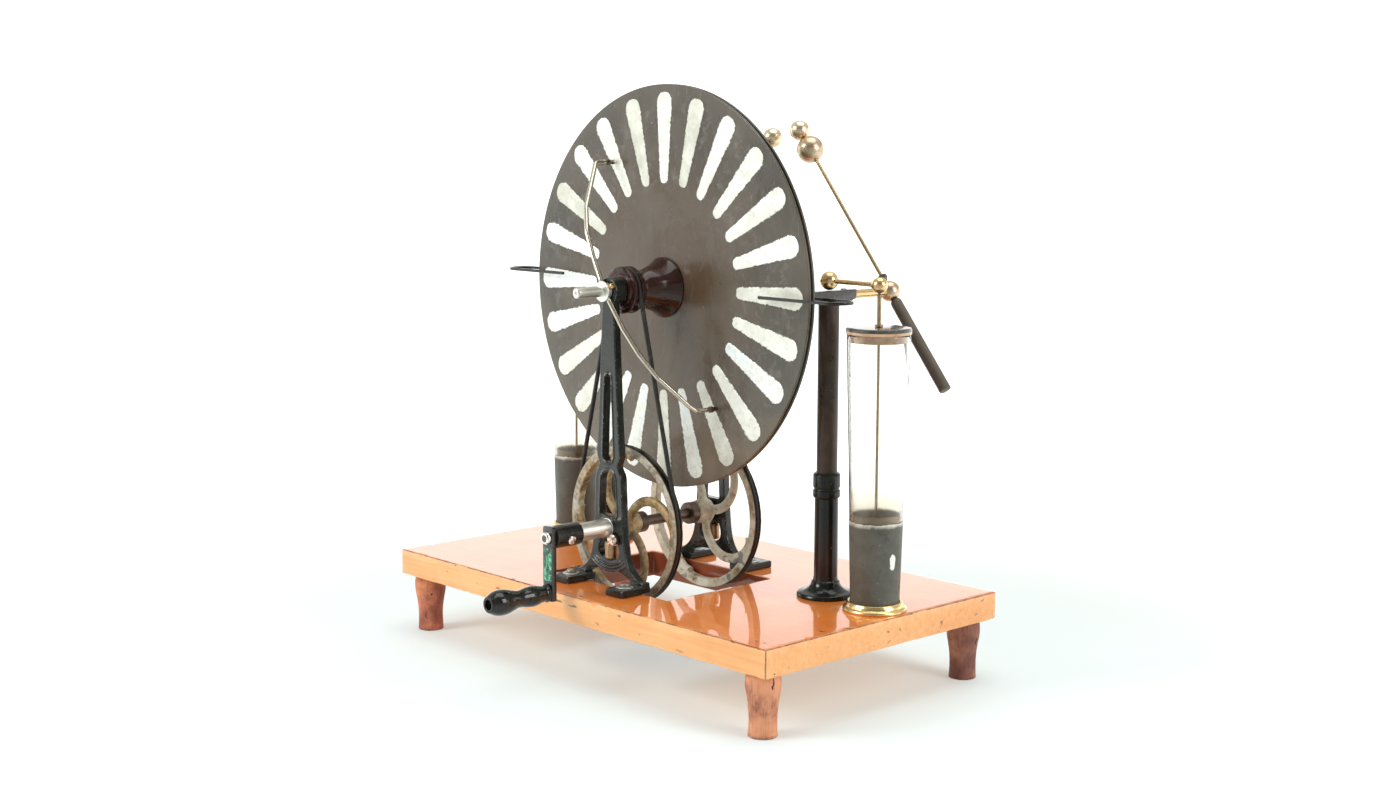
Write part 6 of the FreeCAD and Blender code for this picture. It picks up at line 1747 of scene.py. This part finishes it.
# ===========================================================================
# Leyden jars
# ===========================================================================
rings = []
for i, (cx, cy) in enumerate(((272.9, 22.0), (-265.0, 57.0))):
    rings.append(lathe("ring_%d" % i, rounded([(26.7, 0.02), (33.4, 0.02), (34.0, 0.6), (34.0, 2.4), (33.2, 3.6), (32.0, 4.4), (31.2, 5.2), (30.6, 7.0), (29.4, 9.2), (28.2, 9.9), (26.9, 9.7), (26.7, 9.0)], 0.5) + [(26.7, 9.0)],
                       (cx, cy, 0), (0, 0, 1), MRG, 120, loop=True))
put(join("jar_sockets", rings), "base", "jar_rings", slot="brass")


def jar(prefix, cx, cy, up, body, seed):
    k = (33.5 - 25.5) / 292.6

    def ro(z):
        return 25.5 + k * z
    MG = mat_glass(cx, cy, prefix + "_clear_glass")
    outer = [(0, 0.4), (20.0, 0.4)] + rounded([(20.0, 0.4), (24.4, 0.5), (ro(3.0), 3.0)], 1.2) + [(ro(z) + 0.10 * math.sin(z * 0.03 + seed), z) for z in range(8, 288, 12)]
    lip = rounded([(ro(288.0), 288.0), (33.3, 291.8), (32.4, 292.9), (31.4, 292.4), (31.25, 288.0)], 0.6)
    inner = [(ro(z) - 2.2 + 0.12 * math.sin(z * 0.05 + seed * 2), z) for z in range(284, 8, -12)] + rounded([(ro(8) - 2.2, 8.0), (ro(6) - 2.6, 4.4), (20.0, 3.6)], 1.0) + [(0, 3.4)]
    g = lathe(prefix + "_glass_wall", outer + lip + inner, (cx, cy, 0), (0, 0, 1), MG, 128)
    put(g, body, prefix + "_glass", slot="glass")
    # foils with torn upper edges
    parts = []
    for nm, off, top, zl, mat, amp in (("outer", 0.06, 96.4, 1.8, MJO, 1.0), ("inner", -2.30, 104.0, 5.6, MJI, 1.2)):
        segs = 256
        verts, faces = [], []
        zs = list(np.linspace(zl, top - 5.0, 16)) + [top - 3.5, top - 2.0, top - 0.8, top]
        t = 0.34 if nm == "outer" else -0.34
        for j, z in enumerate(zs):
            for s in range(segs):
                a = 2 * math.pi * s / segs
                zz = z
                if z > top - 6:
                    f = (z - (top - 6)) / 6
                    zz += f * amp * (noise.noise(Vector((math.cos(a) * 9, math.sin(a) * 9, seed))) * 1.3 + noise.noise(Vector((math.cos(a) * 30, math.sin(a) * 30, seed))) * 0.7 - 0.5)
                base = ro(z) + off
                for rr in (base, base + t):
                    verts.append(P(cx + rr * math.cos(a), cy + rr * math.sin(a), zz))
        w = segs * 2
        for j in range(len(zs) - 1):
            for s in range(segs):
                s2 = (s + 1) % segs
                for q in (0, 1):
                    faces.append((j * w + 2 * s + q, j * w + 2 * s2 + q, (j + 1) * w + 2 * s2 + q, (j + 1) * w + 2 * s + q))
        for s in range(segs):
            s2 = (s + 1) % segs
            for j in (0, len(zs) - 1):
                faces.append((j * w + 2 * s, j * w + 2 * s2, j * w + 2 * s2 + 1, j * w + 2 * s + 1))
        parts.append(tidy(new_object(prefix + "_" + nm, verts, faces, mat), 50))
    put(join(prefix + "_tin_foils", parts), body, prefix + "_foils", slot="foil")
    lid = rounded([(1.55, 284.6), (30.3, 284.6), (30.8, 285.4), (30.9, 293.0), (33.9, 293.02), (34.3, 293.9), (34.3, 298.2), (33.4, 299.6), (31.0, 300.0), (8.0, 300.2), (1.55, 300.2)], 0.4)
    put(lathe(prefix + "_turned_lid", lid + [(1.55, 300.2)], (cx, cy, 0), (0, 0, 1), MLID, 96, loop=True), body, prefix + "_lid", slot="lid_wood")
    top = 343.5 + up
    rod = lathe(prefix + "_charging_rod", [(0, 4.4)] + rounded([(0.01, 4.4), (6.8, 4.4), (7.0, 4.8), (7.0, 5.6), (1.5, 6.6), (1.5, 300.4), (4.2, 300.5), (4.2, 302.6), (2.3, 303.2), (2.3, top - 9.6), (1.5, top - 8.9), (1.5, top + 5.0)], 0.3) + [(0, top + 5.0)],
                (cx, cy, 0), (0, 0, 1), MJR, 36)
    put(rod, body, prefix + "_rod", slot="brass")
    return top


rtop = jar("right_jar", 272.9, 22.0, 0.0, "right_jar", 1.0)
ltop = jar("left_jar", -265.0, 57.0, 8.0, "left_jar", 4.0)


def link(prefix, jx, jy, top, cx, cy, body):
    d = Vector((cx - jx, cy - jy, 0))
    L = d.length
    d.normalize()
    b1 = solid_ball(prefix + "_head", 10.0, (cx, cy, top), (0, 0, 1), MBL)
    prof = sphere_prof(8.5, 1.56, 40)
    b2 = lathe(prefix + "_eye_ball", [(1.56, prof[0][1])] + prof + [(1.56, prof[-1][1])], (jx, jy, top), (0, 0, 1), MBL, 60, loop=True)
    pts = [(jx + d.x * t, jy + d.y * t, top) for t in np.linspace(7.6, L - 9.2, 20)]
    rod = tube(prefix + "_bar", pts, 2.5, MBY, 24)
    c1 = lathe(prefix + "_c1", rounded([(2.52, 8.0), (3.8, 8.2), (3.8, 10.4), (2.52, 10.8)], 0.3) + [(2.52, 10.8)], (jx, jy, top), tuple(d), MBR, 32, loop=True)
    put(join(prefix + "_arm_with_balls", [b1, b2, rod, c1]), body, prefix + "_arm", slot="brass")


link("right_link", 272.9, 22.0, rtop, 195.0, 29.0, "right_link")
link("left_link", -265.0, 57.0, ltop, -193.0, 49.0, "left_link")

# ===========================================================================
# Stage: pale floor that glows as painted light, white surroundings, soft lights
# ===========================================================================
floor_mat = bpy.data.materials.new("studio_floor")
floor_mat.use_nodes = True
fb = next(n for n in floor_mat.node_tree.nodes if n.type == "BSDF_PRINCIPLED")
fb.inputs["Base Color"].default_value = (0.62, 0.648, 0.634, 1)
fb.inputs["Roughness"].default_value = 0.8
fb.inputs["Specular IOR Level"].default_value = 0.1
fb.inputs["Emission Color"].default_value = (0.97, 1.0, 0.99, 1)
ft = floor_mat.node_tree
ftc = ft.nodes.new("ShaderNodeTexCoord")
fln = ft.nodes.new("ShaderNodeVectorMath")
fln.operation = "LENGTH"
# painted light: the floor glows, faintly near the machine and more strongly further out, so that the far floor turns
# white
fmr = ft.nodes.new("ShaderNodeMapRange")
fmr.interpolation_type = "SMOOTHSTEP"
for key, val in (("From Min", 0.56), ("From Max", 1.50), ("To Min", 0.285), ("To Max", 1.15)):
    fmr.inputs[key].default_value = val
ft.links.new(ftc.outputs["Object"], fln.inputs[0])
ft.links.new(fln.outputs["Value"], fmr.inputs["Value"])
# painted shade: on the camera's side the floor is painted dark and glows less, standing in for a dim room behind the
# camera, which keeps the glossy blacks black
fdt = ft.nodes.new("ShaderNodeVectorMath")
fdt.operation = "DOT_PRODUCT"
fdt.inputs[1].default_value = (0.730, -0.683, 0.0)
fdk = ft.nodes.new("ShaderNodeMapRange")
for key, val in (("From Min", 0.50), ("From Max", 0.95), ("To Min", 1.0), ("To Max", 0.32)):
    fdk.inputs[key].default_value = val
fmul = ft.nodes.new("ShaderNodeMath")
fmul.operation = "MULTIPLY"
fcol = ft.nodes.new("ShaderNodeMix")
fcol.data_type = "RGBA"
fcol.inputs[6].default_value = (0.10, 0.11, 0.11, 1)
fcol.inputs[7].default_value = (0.62, 0.648, 0.634, 1)
# painted light: near the machine the floor is painted a cooler tint, cancelling the warm light bounced off the red
# board
fnr = ft.nodes.new("ShaderNodeMapRange")
for key, val in (("From Min", 0.40), ("From Max", 0.80), ("To Min", 0.0), ("To Max", 1.0)):
    fnr.inputs[key].default_value = val
fcool = ft.nodes.new("ShaderNodeMix")
fcool.data_type = "RGBA"
fcool.inputs[6].default_value = (0.575, 0.655, 0.675, 1)
fcool.inputs[7].default_value = (0.62, 0.648, 0.634, 1)
ft.links.new(fln.outputs["Value"], fnr.inputs["Value"])
ft.links.new(fnr.outputs["Result"], fcool.inputs[0])
ft.links.new(fcool.outputs[2], fcol.inputs[7])
ft.links.new(ftc.outputs["Object"], fdt.inputs[0])
ft.links.new(fdt.outputs["Value"], fdk.inputs["Value"])
ft.links.new(fmr.outputs["Result"], fmul.inputs[0])
ft.links.new(fdk.outputs["Result"], fmul.inputs[1])
ft.links.new(fdk.outputs["Result"], fcol.inputs[0])
ft.links.new(fcol.outputs[2], fb.inputs["Base Color"])
ft.links.new(fmul.outputs[0], fb.inputs["Emission Strength"])
fl = new_object("studio_floor", [(-12, -12, 0), (12, -12, 0), (12, 12, 0), (-12, 12, 0)], [(0, 1, 2, 3)], floor_mat)

world = bpy.data.worlds.new("studio")
scene.world = world
world.use_nodes = True
wt = world.node_tree
bg = next(n for n in wt.nodes if n.type == "BACKGROUND")
bg.inputs["Strength"].default_value = 2.0
tc = wt.nodes.new("ShaderNodeTexCoord")
sp = wt.nodes.new("ShaderNodeSeparateXYZ")
wt.links.new(tc.outputs["Generated"], sp.inputs[0])
rp = wt.nodes.new("ShaderNodeValToRGB")
rp.color_ramp.elements[0].position = 0.0
rp.color_ramp.elements[0].color = (0.84, 0.84, 0.84, 1)
rp.color_ramp.elements[1].position = 1.0
rp.color_ramp.elements[1].color = (0.30, 0.30, 0.28, 1)
for pos, c in ((0.232, (0.84, 0.84, 0.83, 1)), (0.262, (0.58, 0.58, 0.56, 1)), (0.305, (0.22, 0.22, 0.21, 1)), (0.52, (0.42, 0.42, 0.40, 1))):
    e = rp.color_ramp.elements.new(pos)
    e.color = c
wt.links.new(sp.outputs[2], rp.inputs[0])
# the camera's side of the room is darker than the white sweep behind
dt = wt.nodes.new("ShaderNodeVectorMath")
dt.operation = "DOT_PRODUCT"
wt.links.new(tc.outputs["Generated"], dt.inputs[0])
dt.inputs[1].default_value = (0.730, -0.683, 0.0)
mr = wt.nodes.new("ShaderNodeMapRange")
mr.inputs["From Min"].default_value = -0.25
mr.inputs["From Max"].default_value = 0.75
mr.inputs["To Min"].default_value = 1.0
mr.inputs["To Max"].default_value = 0.32
wt.links.new(dt.outputs["Value"], mr.inputs["Value"])
mx = wt.nodes.new("ShaderNodeVectorMath")
mx.operation = "SCALE"
wt.links.new(rp.outputs[0], mx.inputs[0])
wt.links.new(mr.outputs["Result"], mx.inputs["Scale"])
wt.links.new(mx.outputs[0], bg.inputs["Color"])


def area(name, loc, target, size, power, color=(1, 1, 1), size_y=None):
    ld = bpy.data.lights.new(name, "AREA")
    ld.energy = power
    ld.color = color
    ld.shape = "RECTANGLE"
    ld.size = size
    ld.size_y = size_y or size
    ob = bpy.data.objects.new(name, ld)
    coll.objects.link(ob)
    ob.location = loc
    ob.rotation_mode = "QUATERNION"
    ob.rotation_quaternion = (Vector(target) - Vector(loc)).to_track_quat("-Z", "Y")
    return ob


area("key_left", (-1.0, -2.3, 1.7), (0, 0, 0.3), 1.1, 45, (1.0, 0.995, 0.965))
area("fill_right", (2.4, 0.6, 1.3), (0, 0, 0.3), 0.9, 26, (1.0, 0.995, 0.965), 1.5)
area("top_soft", (0.2, 0.3, 2.6), (0, 0, 0.2), 1.8, 26, (1.0, 0.995, 0.965))

scene.view_settings.view_transform = "Standard"
scene.view_settings.look = "None"
scene.view_settings.exposure = 0.0
